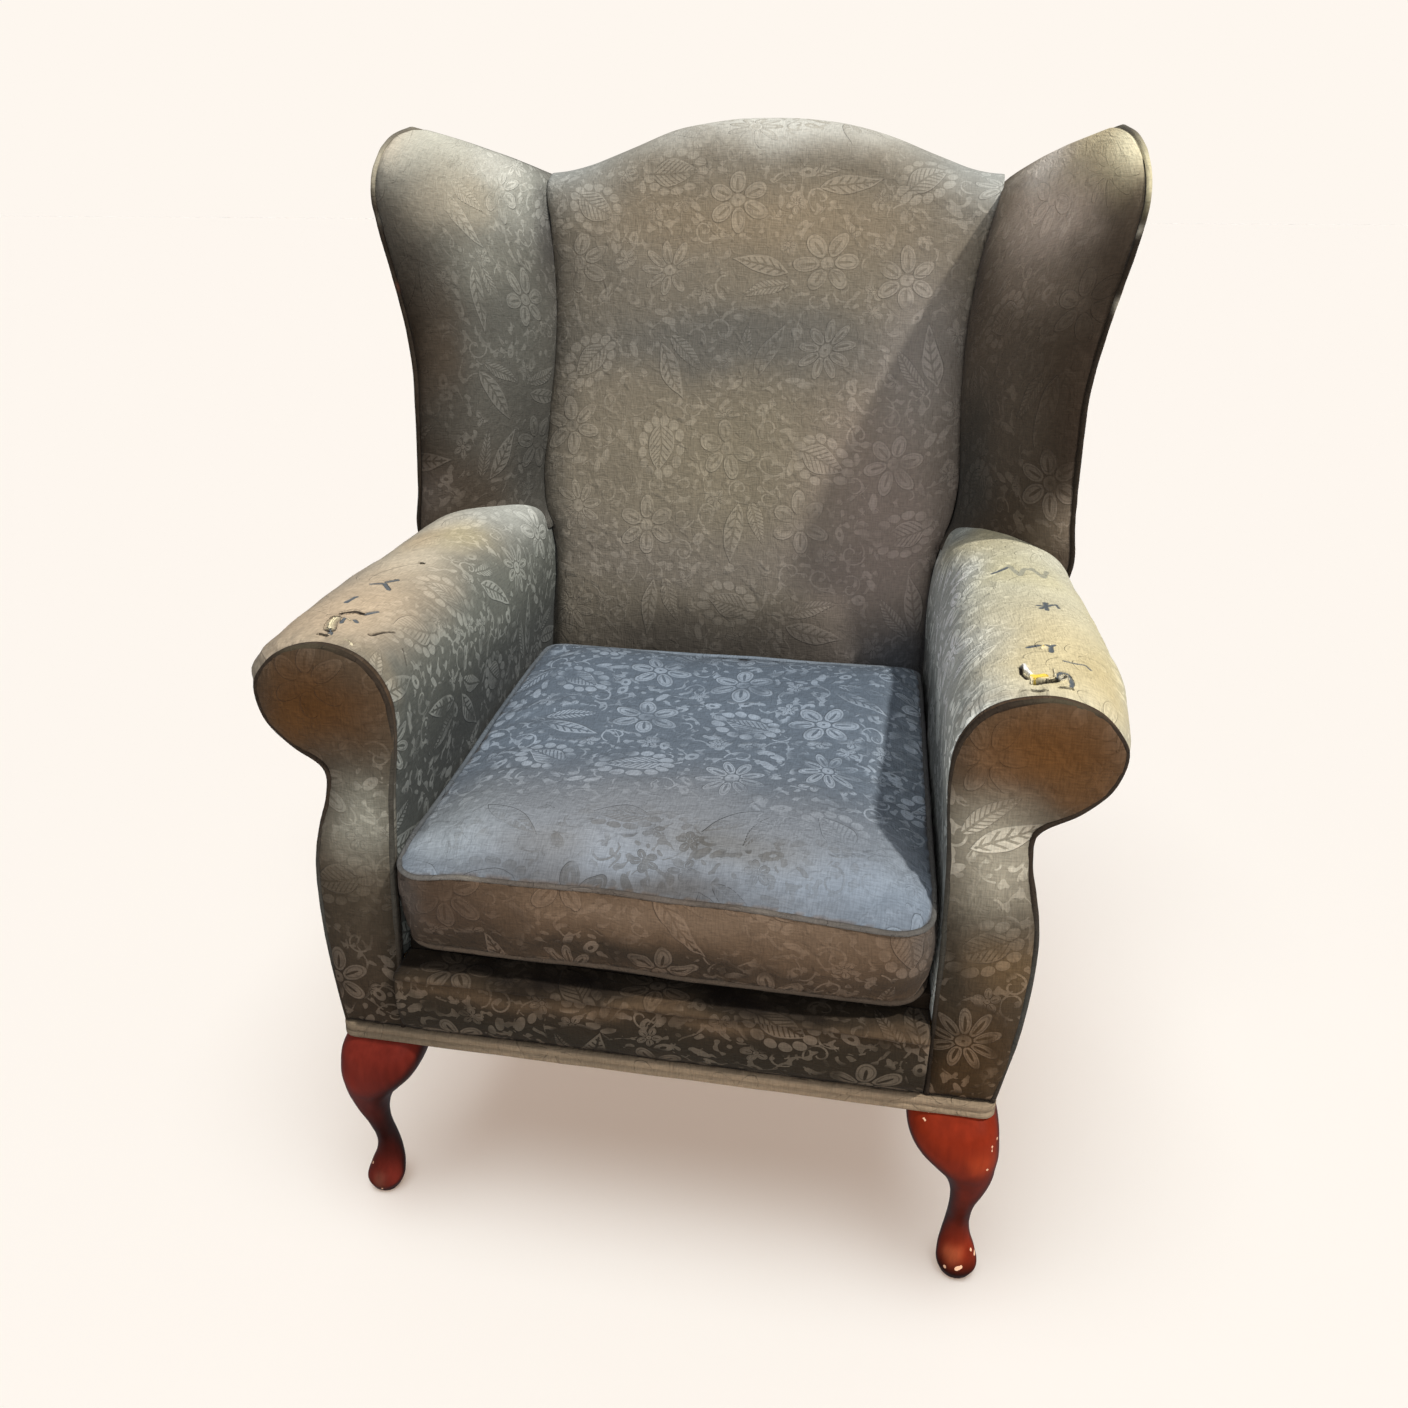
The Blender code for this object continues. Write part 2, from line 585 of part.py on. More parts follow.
def wing_frame_ring(h):
    inner, tip_in, _ = wing_frame_corners(h)
    outer = [outer_line(h, u, PANEL + 2 * GAP) for u in WING_SHARES[1:]]
    back = np.array([inner[0], outer[-1][1], inner[2]])
    return [inner, tip_in, *outer, back]


def wing_recess_ring(h):
    """Round the frame's faces towards the padding, and far out past them."""
    inner, tip_in, _ = wing_frame_corners(h)
    slope = (tip_in - inner)[:2] / np.linalg.norm((tip_in - inner)[:2])
    forward, away = np.array([*slope, 0.0]), np.array([slope[1], -slope[0], 0.0])
    far = -0.030
    return [inner + 2 * GAP * away + far * forward, tip_in + 2 * GAP * (away + forward),
            outer_line(h, WING_LIP, far) + 2 * GAP * forward, outer_line(h, 1.2, far)]


def wing_panel_ring(h):
    outer = [outer_line(h, u, 0.0) for u in WING_SHARES]
    return outer + [outer_line(h, u, PANEL - GAP) for u in reversed(WING_SHARES)]


def wing_piping():
    """Along the front edge from the arm to the peak, then back along the top edge."""
    path = []
    for z in (0.620, 0.667, 0.711, 0.755, 0.800, 0.837, 0.876, 0.914, 0.951, 0.972, 0.988, 1.001, 1.012,
              1.022, 1.030, 1.036, 1.041, 1.0445):
        path.append((keyed(WING_EDGE, z, 1) - 0.0008, keyed(WING_EDGE, z, 2) + 0.0020, z))
    for u in (0.06, 0.2, 0.4, 0.6, 0.8, 0.98):
        x, y, z = outer_line(1.0, u, 0.5 * PANEL)
        path.append((x, y, z + PIPING_OUT + 0.0006))
    return tube("wing_piping", path, PIPING_R, PIPING)


def wings():
    """The roll of the arm is cut from each piece, and room for the frame from the padding."""
    roll = as_cutter(arm_form("arm_space", 4 * GAP))
    framed = [h for h in WING_STEPS if h <= WING_FRAME_TOP]
    pad = loft("wing_pad", [wing_pad_ring(h) for h in WING_STEPS], CLOTH)
    recess = [wing_recess_ring(h) for h in (-0.05, *framed, WING_FRAME_TOP + 3 * GAP)]
    cut(pad, as_cutter(loft("wing_frame_space", recess, WOOD)))
    frame = loft("wing_frame", [wing_frame_ring(h) for h in framed], WOOD)
    panel = loft("outside_wing", [wing_panel_ring(h) for h in WING_STEPS], CLOTH)
    for piece, finish in ((pad, CLOTH), (frame, WOOD), (panel, CLOTH)):
        cut(piece, roll)
        mirror_pair(piece, finish)
    mirror_pair(wing_piping(), PIPING)


# --- back ------------------------------------------------------------------------------------------
def back_section(x):
    """Side view of the back padding at x: front face, rounded top over the crest rail, flat behind."""
    top = crest(x)
    points = [(back_front(z), z) for z in BACK_LEVELS]
    ridge_y, ridge_r = 0.3450, 0.050
    front_y = back_front(top - ridge_r)
    for angle in (0, 25, 50, 72, 90):
        a = math.radians(angle)
        points.append((ridge_y - (ridge_y - front_y) * math.cos(a), top - ridge_r * (1 - math.sin(a))))
    rail_z = top - CREST_PAD
    rear_y = post_rear(rail_z) - GAP
    for angle in (30, 58):
        a = math.radians(angle)
        points.append((lerp(ridge_y, rear_y, math.sin(a) / math.sin(math.radians(64))),
                       rail_z + CREST_PAD * math.cos(a)))
    points += [(rear_y, rail_z + 0.006), (rear_y, rail_z)]
    points.append((post_front(rail_z) - 0.0026, rail_z))
    return points + [(post_front(z) - 0.0026, z) for z in reversed(BACK_LEVELS)]


def inside_back():
    rings = []
    for share in [-t for t in reversed(BACK_SHARES)] + list(BACK_SHARES):
        ring = []
        for y, z in back_section(share * SHOULDER_X):
            on_face = y < back_front(z) + 1e-6 and z < 0.99
            ring.append((share * back_half(z), y - BACK_CROWN * (1 - share**2) * on_face, z))
        rings.append(ring)
    loft("inside_back", rings, CLOTH, folded=True)


def outside_back():
    """Board and cloth that close the back from the base to the crest."""
    stations = [OUT_REAR * k / 8 for k in range(-8, 9)]
    rings = []
    for x in stations:
        low = BASE_TOP + GAP
        high = crest(x) - CREST_PAD + 0.004
        rings.append([(x, rear(low), low), (x, rear(high), high),
                      (x, rear(high) - PANEL, high), (x, rear(low) - PANEL, low)])
    loft("outside_back", rings, CLOTH)


# --- seat ------------------------------------------------------------------------------------------
def deck():
    rings = []
    for z in (PAD_BOTTOM, DECK_TOP):
        y = back_front(z) - BACK_CROWN - GAP
        front = RAIL_FRONT + 0.0105
        rings.append([(-0.2430, front, z), (0.2430, front, z), (0.2260, y, z), (-0.2260, y, z)])
    loft("seat_deck", rings, CLOTH)


def front_border():
    """Padded border in front of the seat rail, with a rounded lip over it."""
    rail = RAIL_FRONT - GAP
    top, inner = 0.3190, RAIL_FRONT + 0.0100
    section = [(rail, BASE_TOP + GAP), (-0.3800, BASE_TOP + GAP), (-0.3905, 0.2500), (-0.3985, 0.2720),
               (SEAT_FRONT + 0.001, 0.2950), (SEAT_FRONT, 0.3060), (SEAT_FRONT + 0.006, 0.3150),
               (SEAT_FRONT + 0.016, 0.3195), (inner, top), (inner, RAIL_TOP + GAP),
               (rail, RAIL_TOP + GAP)]
    loft("front_border", [[(x, y, z) for y, z in section] for x in (-BORDER_HALF, BORDER_HALF)], CLOTH)


def rounded_rectangle(half_front, half_back, y0, y1, radius, per_corner=5):
    """Anticlockwise outline with round front corners and tighter back corners."""
    corners = [(-half_front, y0, radius, 180), (half_front, y0, radius, 270),
               (half_back, y1, 0.45 * radius, 0), (-half_back, y1, 0.45 * radius, 90)]
    made = []
    for x, y, r, start in corners:
        cx = x - math.copysign(r, x)
        cy = y + r if y == y0 else y - r
        for k in range(per_corner):
            a = math.radians(start + 90 * k / (per_corner - 1))
            made.append((cx + r * math.cos(a), cy + r * math.sin(a)))
    return made


def cushion_ring(z, inset, front, lift=0.0):
    """A level of the cushion, lifted towards the back, which it leans against."""
    back = back_front(z + lift) - BACK_CROWN - PIPING_OUT - PIPING_R
    ring = rounded_rectangle(0.2355 - inset, 0.2215 - inset, front + inset, back - inset,
                             max(0.045 - 0.5 * inset, 0.012))
    return [(x, y, z + lift * smoothstep(front, back, y)) for x, y in ring]


CUSHION_SEAMS = ((0.3400, -0.3860, 0.002), (0.4250, -0.4070, 0.038))


def seat_cushion():
    """A loose boxed cushion: seams at its top and bottom edges, and a crown that is fuller at the back."""
    (low_z, low_front, low_lift), (top_z, top_front, top_lift) = CUSHION_SEAMS
    groove = 0.0030
    rings = [
        cushion_ring(CUSHION_BOTTOM, 0.030, low_front),
        cushion_ring(CUSHION_BOTTOM + 0.0035, 0.006, low_front),
        cushion_ring(low_z, groove, low_front, low_lift),
        cushion_ring(low_z + 0.008, -0.0002, low_front - 0.001, low_lift),
        cushion_ring(lerp(low_z, top_z, 0.5), -0.0015, lerp(low_front, top_front, 0.5), 0.5 * top_lift),
        cushion_ring(top_z - 0.008, -0.0002, top_front + 0.001, top_lift),
        cushion_ring(top_z, groove, top_front, top_lift),
        cushion_ring(top_z + 0.007, 0.006, top_front, top_lift),
        cushion_ring(top_z + 0.016, 0.034, top_front, top_lift - 0.002),
        cushion_ring(top_z + 0.021, 0.085, top_front, top_lift - 0.006),
        cushion_ring(top_z + 0.022, 0.150, top_front, top_lift - 0.010),
    ]
    loft("seat_cushion", rings, CLOTH)
    for name, (z, front, lift) in zip(("cushion_piping_bottom", "cushion_piping_top"), CUSHION_SEAMS):
        tube(name, cushion_ring(z, -0.0006, front, lift), PIPING_R, PIPING, closed=True)


def base_band():
    """The flat band sewn round the bottom edge of the upholstery."""
    def outline(inset):
        corner = 0.012 - inset
        rear_y = rear(BASE_TOP) + 0.0035 - inset
        front_x, rear_x = OUT_FRONT + 0.002 - inset, OUT_REAR + 0.002 - inset
        front_y = FACING_FRONT - 0.002 + inset
        points = []
        for k in range(4):
            a = math.radians(270 + 30 * k)
            points.append((front_x - corner + corner * math.cos(a), front_y + corner + corner * math.sin(a)))
        points += [(rear_x, rear_y), (-rear_x, rear_y)]
        return points + [(-x, y) for x, y in reversed(points[:4])]
    band = plate("base_band", [outline(0.0), outline(0.005)], BASE_TOP - BASE_BOTTOM, BAND)
    band.location.z = (BASE_TOP + BASE_BOTTOM) / 2


def dust_cover():
    """Black cloth tacked under the seat frame, between the rear legs and the front edge."""
    z = (FRAME_BOTTOM - GAP - 0.0017, FRAME_BOTTOM - GAP)
    front, back = RAIL_FRONT + 0.002, POST_FOOT[1][3] - 0.080
    cover = [(-0.2990, front), (0.2990, front), (0.2860, back), (-0.2860, back)]
    loft("dust_cover", [[(x, y, h) for x, y in cover] for h in z], HESSIAN)


clear_scene()
CHAIR = new_collection("wing_armchair")
CUTTERS = new_collection("cutters")
MATERIALS = make_finishes()
seat_frame()
corner_blocks()
back_posts()
back_rails()
arm_wood()
springs_and_webbing()
front_legs()
glides()
arms()
arm_facings()
outside_arms()
wings()
inside_back()
outside_back()
deck()
front_border()
seat_cushion()
base_band()
dust_cover()
for piece in [o for o in CHAIR.objects if o.hide_render]:
    CHAIR.objects.unlink(piece)
    CUTTERS.objects.link(piece)
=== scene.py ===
import json
import math

import bmesh
import bpy
import numpy as np
from mathutils import Matrix, Vector
from mathutils.bvhtree import BVHTree
from mathutils.geometry import delaunay_2d_cdt


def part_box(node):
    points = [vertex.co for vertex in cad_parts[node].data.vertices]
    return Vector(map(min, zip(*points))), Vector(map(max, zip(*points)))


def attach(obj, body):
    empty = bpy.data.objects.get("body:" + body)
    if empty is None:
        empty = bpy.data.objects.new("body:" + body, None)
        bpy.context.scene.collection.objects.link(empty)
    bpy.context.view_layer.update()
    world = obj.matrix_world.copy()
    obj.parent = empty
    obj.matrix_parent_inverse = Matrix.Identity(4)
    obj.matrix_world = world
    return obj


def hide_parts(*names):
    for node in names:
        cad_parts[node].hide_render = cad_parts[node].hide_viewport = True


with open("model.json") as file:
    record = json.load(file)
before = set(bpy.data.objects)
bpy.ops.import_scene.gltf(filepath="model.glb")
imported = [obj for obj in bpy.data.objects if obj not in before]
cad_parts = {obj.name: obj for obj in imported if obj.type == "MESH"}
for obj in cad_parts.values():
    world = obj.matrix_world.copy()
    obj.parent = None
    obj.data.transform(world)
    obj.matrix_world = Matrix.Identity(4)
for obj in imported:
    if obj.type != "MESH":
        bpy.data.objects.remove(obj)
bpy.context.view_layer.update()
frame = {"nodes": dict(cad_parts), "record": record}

# --- dimensions, in metres: estimates, not the manufacturer's --------------------------------------------
PIPING_R = 0.0029
GAP = 0.0003    # between pieces that touch
BASE_TOP, BASE_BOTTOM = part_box("base_band")[1].z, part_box("base_band")[0].z
DECK_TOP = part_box("seat_deck")[1].z
FACING_FRONT, FACING_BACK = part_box("arm_facing_right")[0].y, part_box("arm_facing_right")[1].y
RAIL_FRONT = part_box("front_rail")[0].y
# The front and the rear of the back stand at Y at this height, and lean back so far for each metre up.
BACK_FRONT_Y, BACK_REF_Z, BACK_RECLINE = 0.1150, 0.4700, 0.310
REAR_Y, REAR_REF_Z, REAR_RECLINE = 0.4100, 1.0330, 0.240
PANEL, POST_DEPTH = 0.0040, 0.0400
CREST_RISE, SHOULDER_Z, SHOULDER_X, CREST_PAD = 0.0600, 1.0040, 0.2740, 0.0340
BACK_CROWN = 0.0140
OUT_FRONT, OUT_REAR = 0.3065, 0.2900    # half the base's width
ARM_BOTTOM, ARM_INNER_X, ROLL_WIDTH = 0.3100, 0.2700, 0.0950
ROLL_END = 0.35    # the share of the roll's overhang that is left behind the wing
ARM_STEP = 0.0262    # how far the arm's inner face steps out beside the back
RIGHT_SPREAD = 0.0060
WING_FOOT_FRONT, WING_FOOT_REAR, WING_TOP_FRONT, WING_TOP_REAR = 0.5800, 0.6020, 1.0420, 0.9980
WING_SWELL, WING_HOLLOW = 0.0280, 0.0120
# Front views of the arm as (x, z), up its inner face, over the roll and in under it, at its two ends.
SCROLL_FRONT = [
    (0.2455, 0.4000), (0.2420, 0.4800), (0.2368, 0.5450), (0.2425, 0.5830), (0.2650, 0.6110),
    (0.3010, 0.6215), (0.3370, 0.6130), (0.3590, 0.5930), (0.3650, 0.5740), (0.3560, 0.5460),
    (0.3340, 0.5240), (0.3110, 0.5100),
]
SCROLL_REAR = [
    (0.2270, 0.4000), (0.2268, 0.4800), (0.2270, 0.5450), (0.2332, 0.5920), (0.2500, 0.6250),
    (0.2950, 0.6420), (0.3380, 0.6330), (0.3620, 0.6080), (0.3680, 0.5860), (0.3600, 0.5600),
    (0.3360, 0.5380), (0.3090, 0.5220),
]
# The facing's outer side below the roll, as (x, z).
FACING_SIDE = [
    (0.3035, 0.4970), (0.3065, 0.4730), (0.3125, 0.4540), (0.3180, 0.4320), (0.3215, 0.4070),
    (0.3222, 0.3800), (0.3210, 0.3500), (0.3180, 0.3150), (0.3130, 0.2730), (0.3070, 0.2370),
]
# The wing's front edge from its foot to its peak, as (z, x, y).
WING_EDGE = [
    (0.585, 0.3600, 0.060), (0.612, 0.3690, 0.058), (0.667, 0.3645, 0.053), (0.755, 0.3610, 0.049),
    (0.800, 0.3610, 0.049), (0.837, 0.3660, 0.052), (0.876, 0.3730, 0.050), (0.914, 0.3800, 0.044),
    (0.951, 0.3860, 0.035), (0.988, 0.3885, 0.028), (1.012, 0.3850, 0.033), (1.030, 0.3790, 0.047),
    (1.041, 0.3720, 0.066), (1.047, 0.3650, 0.090),
]
# Half the width of the inside back at each height, as (z, x).
BACK_HALF = [
    (0.300, 0.2262), (0.560, 0.2262), (0.592, 0.2288), (0.625, 0.2440), (0.655, 0.2490),
    (0.720, 0.2460), (0.800, 0.2430), (0.880, 0.2470), (0.940, 0.2570), (1.005, 0.2720), (1.100, 0.2720),
]
# The right front leg from its top: height, centre (x, y), half width, half depth, squareness (2 is round).
LEG_SECTIONS = [
    (0.2206, 0.2702, -0.3500, 0.0388, 0.0366, 3.6), (0.2050, 0.2735, -0.3590, 0.0413, 0.0404, 3.2),
    (0.1900, 0.2767, -0.3630, 0.0402, 0.0402, 2.8), (0.1750, 0.2816, -0.3640, 0.0366, 0.0370, 2.6),
    (0.1600, 0.2876, -0.3640, 0.0298, 0.0315, 2.4), (0.1450, 0.2932, -0.3620, 0.0235, 0.0252, 2.3),
    (0.1300, 0.2956, -0.3595, 0.0187, 0.0200, 2.2), (0.1150, 0.2955, -0.3565, 0.0148, 0.0160, 2.2),
    (0.1000, 0.2942, -0.3520, 0.0122, 0.0132, 2.1), (0.0850, 0.2936, -0.3455, 0.0112, 0.0120, 2.1),
    (0.0700, 0.2936, -0.3380, 0.0112, 0.0118, 2.0), (0.0550, 0.2935, -0.3325, 0.0118, 0.0124, 2.0),
    (0.0400, 0.2940, -0.3305, 0.0140, 0.0145, 2.0), (0.0250, 0.2957, -0.3335, 0.0180, 0.0185, 2.0),
    (0.0120, 0.2970, -0.3385, 0.0192, 0.0200, 2.0), (0.0040, 0.2965, -0.3390, 0.0150, 0.0160, 2.0),
]


# --- curves that several pieces share ------------------------------------------------------------------
def lerp(a, b, t):
    return a + (b - a) * t


def smoothstep(low, high, value):
    t = np.clip((value - low) / (high - low), 0, 1)
    return t * t * (3 - 2 * t)


def keyed(keys, at, column=1):
    """A smooth curve through one column of these rows, by their first column."""
    rows = np.array(sorted(keys))
    x, y = rows[:, 0], rows[:, column]
    slope = np.gradient(y, x)
    at = np.clip(np.asarray(at, float), x[0], x[-1])
    i = np.clip(np.searchsorted(x, at) - 1, 0, len(x) - 2)
    h = x[i + 1] - x[i]
    s = (at - x[i]) / h
    return ((1 + 2 * s) * (1 - s)**2 * y[i] + s * (1 - s)**2 * h * slope[i]
            + s * s * (3 - 2 * s) * y[i + 1] + s * s * (s - 1) * h * slope[i + 1])


def rounded(points, steps=8):
    """An open Catmull-Rom curve through the points."""
    p = np.array(points, float)
    p = np.vstack([2 * p[0] - p[1], p, 2 * p[-1] - p[-2]])
    made = []
    for a, b, c, d in zip(p, p[1:], p[2:], p[3:]):
        for t in np.arange(steps) / steps:
            made.append(0.5 * (2 * b + (c - a) * t + (2 * a - 5 * b + 4 * c - d) * t**2
                               + (3 * b - a - 3 * c + d) * t**3))
    return np.array([*made, p[-2]])


def lengths(points):
    """How far along a line each of its points lies."""
    steps = np.linalg.norm(np.diff(points, axis=0), axis=-1)
    return np.concatenate([np.zeros_like(steps[:1]), np.cumsum(steps, axis=0)])


def unit(vectors):
    return vectors / np.linalg.norm(vectors, axis=-1, keepdims=True)


def evenly(points, count):
    """The same line with this many points, equally spaced."""
    points = np.asarray(points, float)
    along = lengths(points)
    at = np.linspace(0, along[-1], count)
    return np.stack([np.interp(at, along, points[:, k]) for k in range(points.shape[1])], 1)


def broadened(front_view, side):
    """The right roll has spread more than the left: moves the outer part of its front view out."""
    x, z = np.asarray(front_view, float).T
    share = (0.4 * smoothstep(0.24, 0.32, z) + 0.6 * smoothstep(0.44, 0.50, z)) * smoothstep(0.250, 0.305, x)
    return np.stack([x + (RIGHT_SPREAD * share if side > 0 else 0), z], 1)


def back_front(z):
    return BACK_FRONT_Y + (z - BACK_REF_Z) * BACK_RECLINE


def rear(z):
    return REAR_Y + (z - REAR_REF_Z) * REAR_RECLINE


def post_front(z):
    return rear(z) - PANEL - POST_DEPTH


def back_half(z):
    return keyed(BACK_HALF, z)


def crest(x):
    u = np.clip(np.abs(x) / SHOULDER_X, 0, 1)
    return SHOULDER_Z + CREST_RISE * (1 + np.cos(np.pi * u**1.4)) / 2


def base_outer(y):
    return lerp(OUT_FRONT, OUT_REAR, (y - FACING_FRONT) / (rear(BASE_TOP) - FACING_FRONT))


LATTICE = np.random.default_rng(7).random((24, 24, 24))


def noise(points, size, seed):
    """Smooth noise between -1 and 1, in lumps of about this size in metres."""
    p = np.asarray(points) / size + 17.31 * seed + 100
    cell = np.floor(p).astype(int)
    f = p - cell
    f = f * f * (3 - 2 * f)
    total = 0
    for corner in range(8):
        step = np.array([corner & 1, corner >> 1 & 1, corner >> 2])
        share = np.prod(np.where(step, f, 1 - f), axis=-1)
        i = (cell + step) % len(LATTICE)
        total = total + share * LATTICE[i[..., 0], i[..., 1], i[..., 2]]
    return 2 * total - 1


# --- meshes --------------------------------------------------------------------------------------------
def new_mesh(name, verts, faces, face_uvs=None):
    """A mesh object. face_uvs gives each face corner's place on the cloth, in metres."""
    mesh = bpy.data.meshes.new(name)
    mesh.from_pydata(np.asarray(verts).reshape(-1, 3).tolist(), [], [list(map(int, f)) for f in faces])
    if face_uvs is not None:
        layer = mesh.uv_layers.new(name="cloth")
        layer.data.foreach_set("uv", np.asarray(face_uvs, np.float32).ravel())
    mesh.shade_smooth()
    mesh.validate()
    obj = bpy.data.objects.new(name, mesh)
    bpy.context.scene.collection.objects.link(obj)
    return obj


def grid_faces(rows, columns, wrap):
    """Corner numbers of a grid's faces, in its points and in its UVs, which have a column more if wrapped."""
    across = columns if wrap else columns - 1
    i, j = (a.ravel() for a in np.meshgrid(np.arange(rows - 1), np.arange(across), indexing="ij"))
    width = columns + 1 if wrap else columns
    points = [i * columns + j, i * columns + (j + 1) % columns, (i + 1) * columns + (j + 1) % columns,
              (i + 1) * columns + j]
    uvs = [i * width + j, i * width + j + 1, (i + 1) * width + j + 1, (i + 1) * width + j]
    return np.stack(points, 1), np.stack(uvs, 1)


def skin(name, points, cloth, wrap=True, caps=True):
    """A skin over a grid of points (rows, columns, 3): wrap closes it round its columns, caps at its ends."""
    rows, columns = points.shape[:2]
    faces, corners = grid_faces(rows, columns, wrap)
    flat = np.asarray(cloth, float).reshape(-1, 2)
    faces, uvs = faces.tolist(), flat[corners].reshape(-1, 2).tolist()
    if caps:
        width = columns + 1 if wrap else columns
        first = list(range(columns))[::-1]
        faces += [first, [(rows - 1) * columns + j for j in range(columns)]]
        uvs += [flat[j] for j in first] + [flat[(rows - 1) * width + j] for j in range(columns)]
    obj = new_mesh(name, points, faces, np.array(uvs))
    weld(obj, 0.0)
    return obj


def mirrored(rings, side):
    return np.array(rings) * [side, 1, 1]


def wrap_uv(points, along):
    """UVs of a wrapped grid: its rows' place along, and the distance round each ring."""
    closed = np.concatenate([points, points[:, :1]], 1)
    around = np.stack([lengths(ring) for ring in closed])
    return np.stack([np.broadcast_to(np.asarray(along)[:, None], around.shape), around], -1)


def coords(obj):
    co = np.empty(len(obj.data.vertices) * 3, np.float32)
    obj.data.vertices.foreach_get("co", co)
    return co.reshape(-1, 3).astype(float)


def move_to(obj, co):
    obj.data.vertices.foreach_set("co", np.asarray(co, np.float32).ravel())
    obj.data.update()


def normals(obj):
    n = np.empty(len(obj.data.vertices) * 3, np.float32)
    obj.data.vertex_normals.foreach_get("vector", n)
    return n.reshape(-1, 3).astype(float)


def swell(obj, amounts):
    """Moves each point out along its normal by its amount, in metres."""
    move_to(obj, coords(obj) + normals(obj) * np.asarray(amounts)[:, None])


def dents(obj, *layers):
    """Uneven stuffing: each layer is (size of its lumps, height, seed)."""
    co = coords(obj)
    swell(obj, sum(height * noise(co, size, seed) for size, height, seed in layers))


def tube(name, path, radius, closed=False):
    """A ten-sided cord along a path, a little uneven."""
    path = np.asarray(path, float)
    if closed:
        path = np.vstack([path, path[:1]])
    path = evenly(path, max(8, int(lengths(path)[-1] / 0.004)))
    if closed:
        tangent = np.roll(path[:-1], -1, 0) - np.roll(path[:-1], 1, 0)
        tangent = np.vstack([tangent, tangent[:1]])
    else:
        tangent = np.gradient(path, axis=0)
    tangent = unit(tangent)
    side = unit(np.cross(tangent, [0.31, 0.17, 0.93]))
    other = np.cross(tangent, side)
    a = 2 * np.pi * np.arange(10) / 10
    size = radius * (1 + 0.09 * noise(path, 0.011, 3) + 0.05 * noise(path, 0.05, 4))
    points = path[:, None] + size[:, None, None] * (np.cos(a)[:, None] * side[:, None]
                                                     + np.sin(a)[:, None] * other[:, None])
    return skin(name, points, wrap_uv(points, lengths(path)), caps=not closed)


def weld(obj, distance=2e-5):
    """Joins points that meet, and turns the faces outwards."""
    bm = bmesh.new()
    bm.from_mesh(obj.data)
    if distance:
        bmesh.ops.remove_doubles(bm, verts=bm.verts, dist=distance)
    bmesh.ops.recalc_face_normals(bm, faces=bm.faces)
    bm.to_mesh(obj.data)
    bm.free()
    obj.data.shade_smooth()


def join(name, parts):
    """One object from several grids, welded where they meet."""
    bpy.ops.object.select_all(action="DESELECT")
    for part in parts:
        part.select_set(True)
    bpy.context.view_layer.objects.active = parts[0]
    bpy.ops.object.join()
    parts[0].name = parts[0].data.name = name
    weld(parts[0])
    return parts[0]


def flat_plate(name, outline, depth, bulge, edge, side):
    """A padded plate standing in X and Z, with a flat back.

    Its rim lies this deep behind the front of the facing, and its front swells by the bulge, over about this
    distance from its edge.
    """
    spacing = 0.005
    closed = np.vstack([outline, outline[:1]])
    rim = evenly(closed, int(lengths(closed)[-1] / (0.9 * spacing)))[:-1]
    low, high = rim.min(0), rim.max(0)
    x, z = np.meshgrid(*(np.arange(low[k], high[k], spacing) for k in (0, 1)))
    inside = np.stack([x.ravel(), z.ravel()], 1)
    gap = np.min(np.linalg.norm(inside[:, None] - rim[None], axis=2), axis=1)
    inside = inside[gap > 0.6 * spacing]
    points = [Vector(p) for p in np.vstack([rim, inside])]
    edges = [(k, (k + 1) % len(rim)) for k in range(len(rim))]
    flat, _, faces, *_ = delaunay_2d_cdt(points, edges, [], 1, 1e-7)
    flat = np.array([tuple(p) for p in flat])
    away = np.min(np.linalg.norm(flat[:, None] - rim[None], axis=2), axis=1)
    y = FACING_FRONT + depth - bulge * (1 - np.exp(-away / edge))
    front = np.stack([flat[:, 0], y, flat[:, 1]], 1)
    behind = np.stack([flat[:, 0], np.full(len(flat), FACING_BACK), flat[:, 1]], 1)
    ring = sorted(np.nonzero(away < 1e-6)[0], key=lambda v: np.argmin(np.linalg.norm(rim - flat[v], axis=1)))
    count = len(flat)
    faces = [list(f) for f in faces]
    solid = faces + [[v + count for v in reversed(f)] for f in faces]
    solid += [[a, b, b + count, a + count] for a, b in zip(ring, ring[1:] + ring[:1])]
    verts = mirrored(np.vstack([front, behind]), side)
    uvs = np.array([[verts[v][0] + 3, verts[v][2]] for f in solid for v in f])
    obj = new_mesh(name, verts, solid, uvs)
    weld(obj)
    return obj


# --- colours painted on the cloth -----------------------------------------------------------------------
def linear(hex_colour):
    """An sRGB hex colour as linear RGBA."""
    parts = [int(hex_colour[i:i + 2], 16) / 255 for i in (1, 3, 5)]
    return [c / 12.92 if c <= 0.04045 else ((c + 0.055) / 1.055) ** 2.4 for c in parts] + [1.0]


def rgb(hex_colour):
    return np.array(linear(hex_colour)[:3])


def own(side, value):
    """What a value is on this side of the chair: a pair in it stands for left and right."""
    if isinstance(value, tuple):
        return value[side > 0] if len(value) == 2 else tuple(own(side, part) for part in value)
    return value


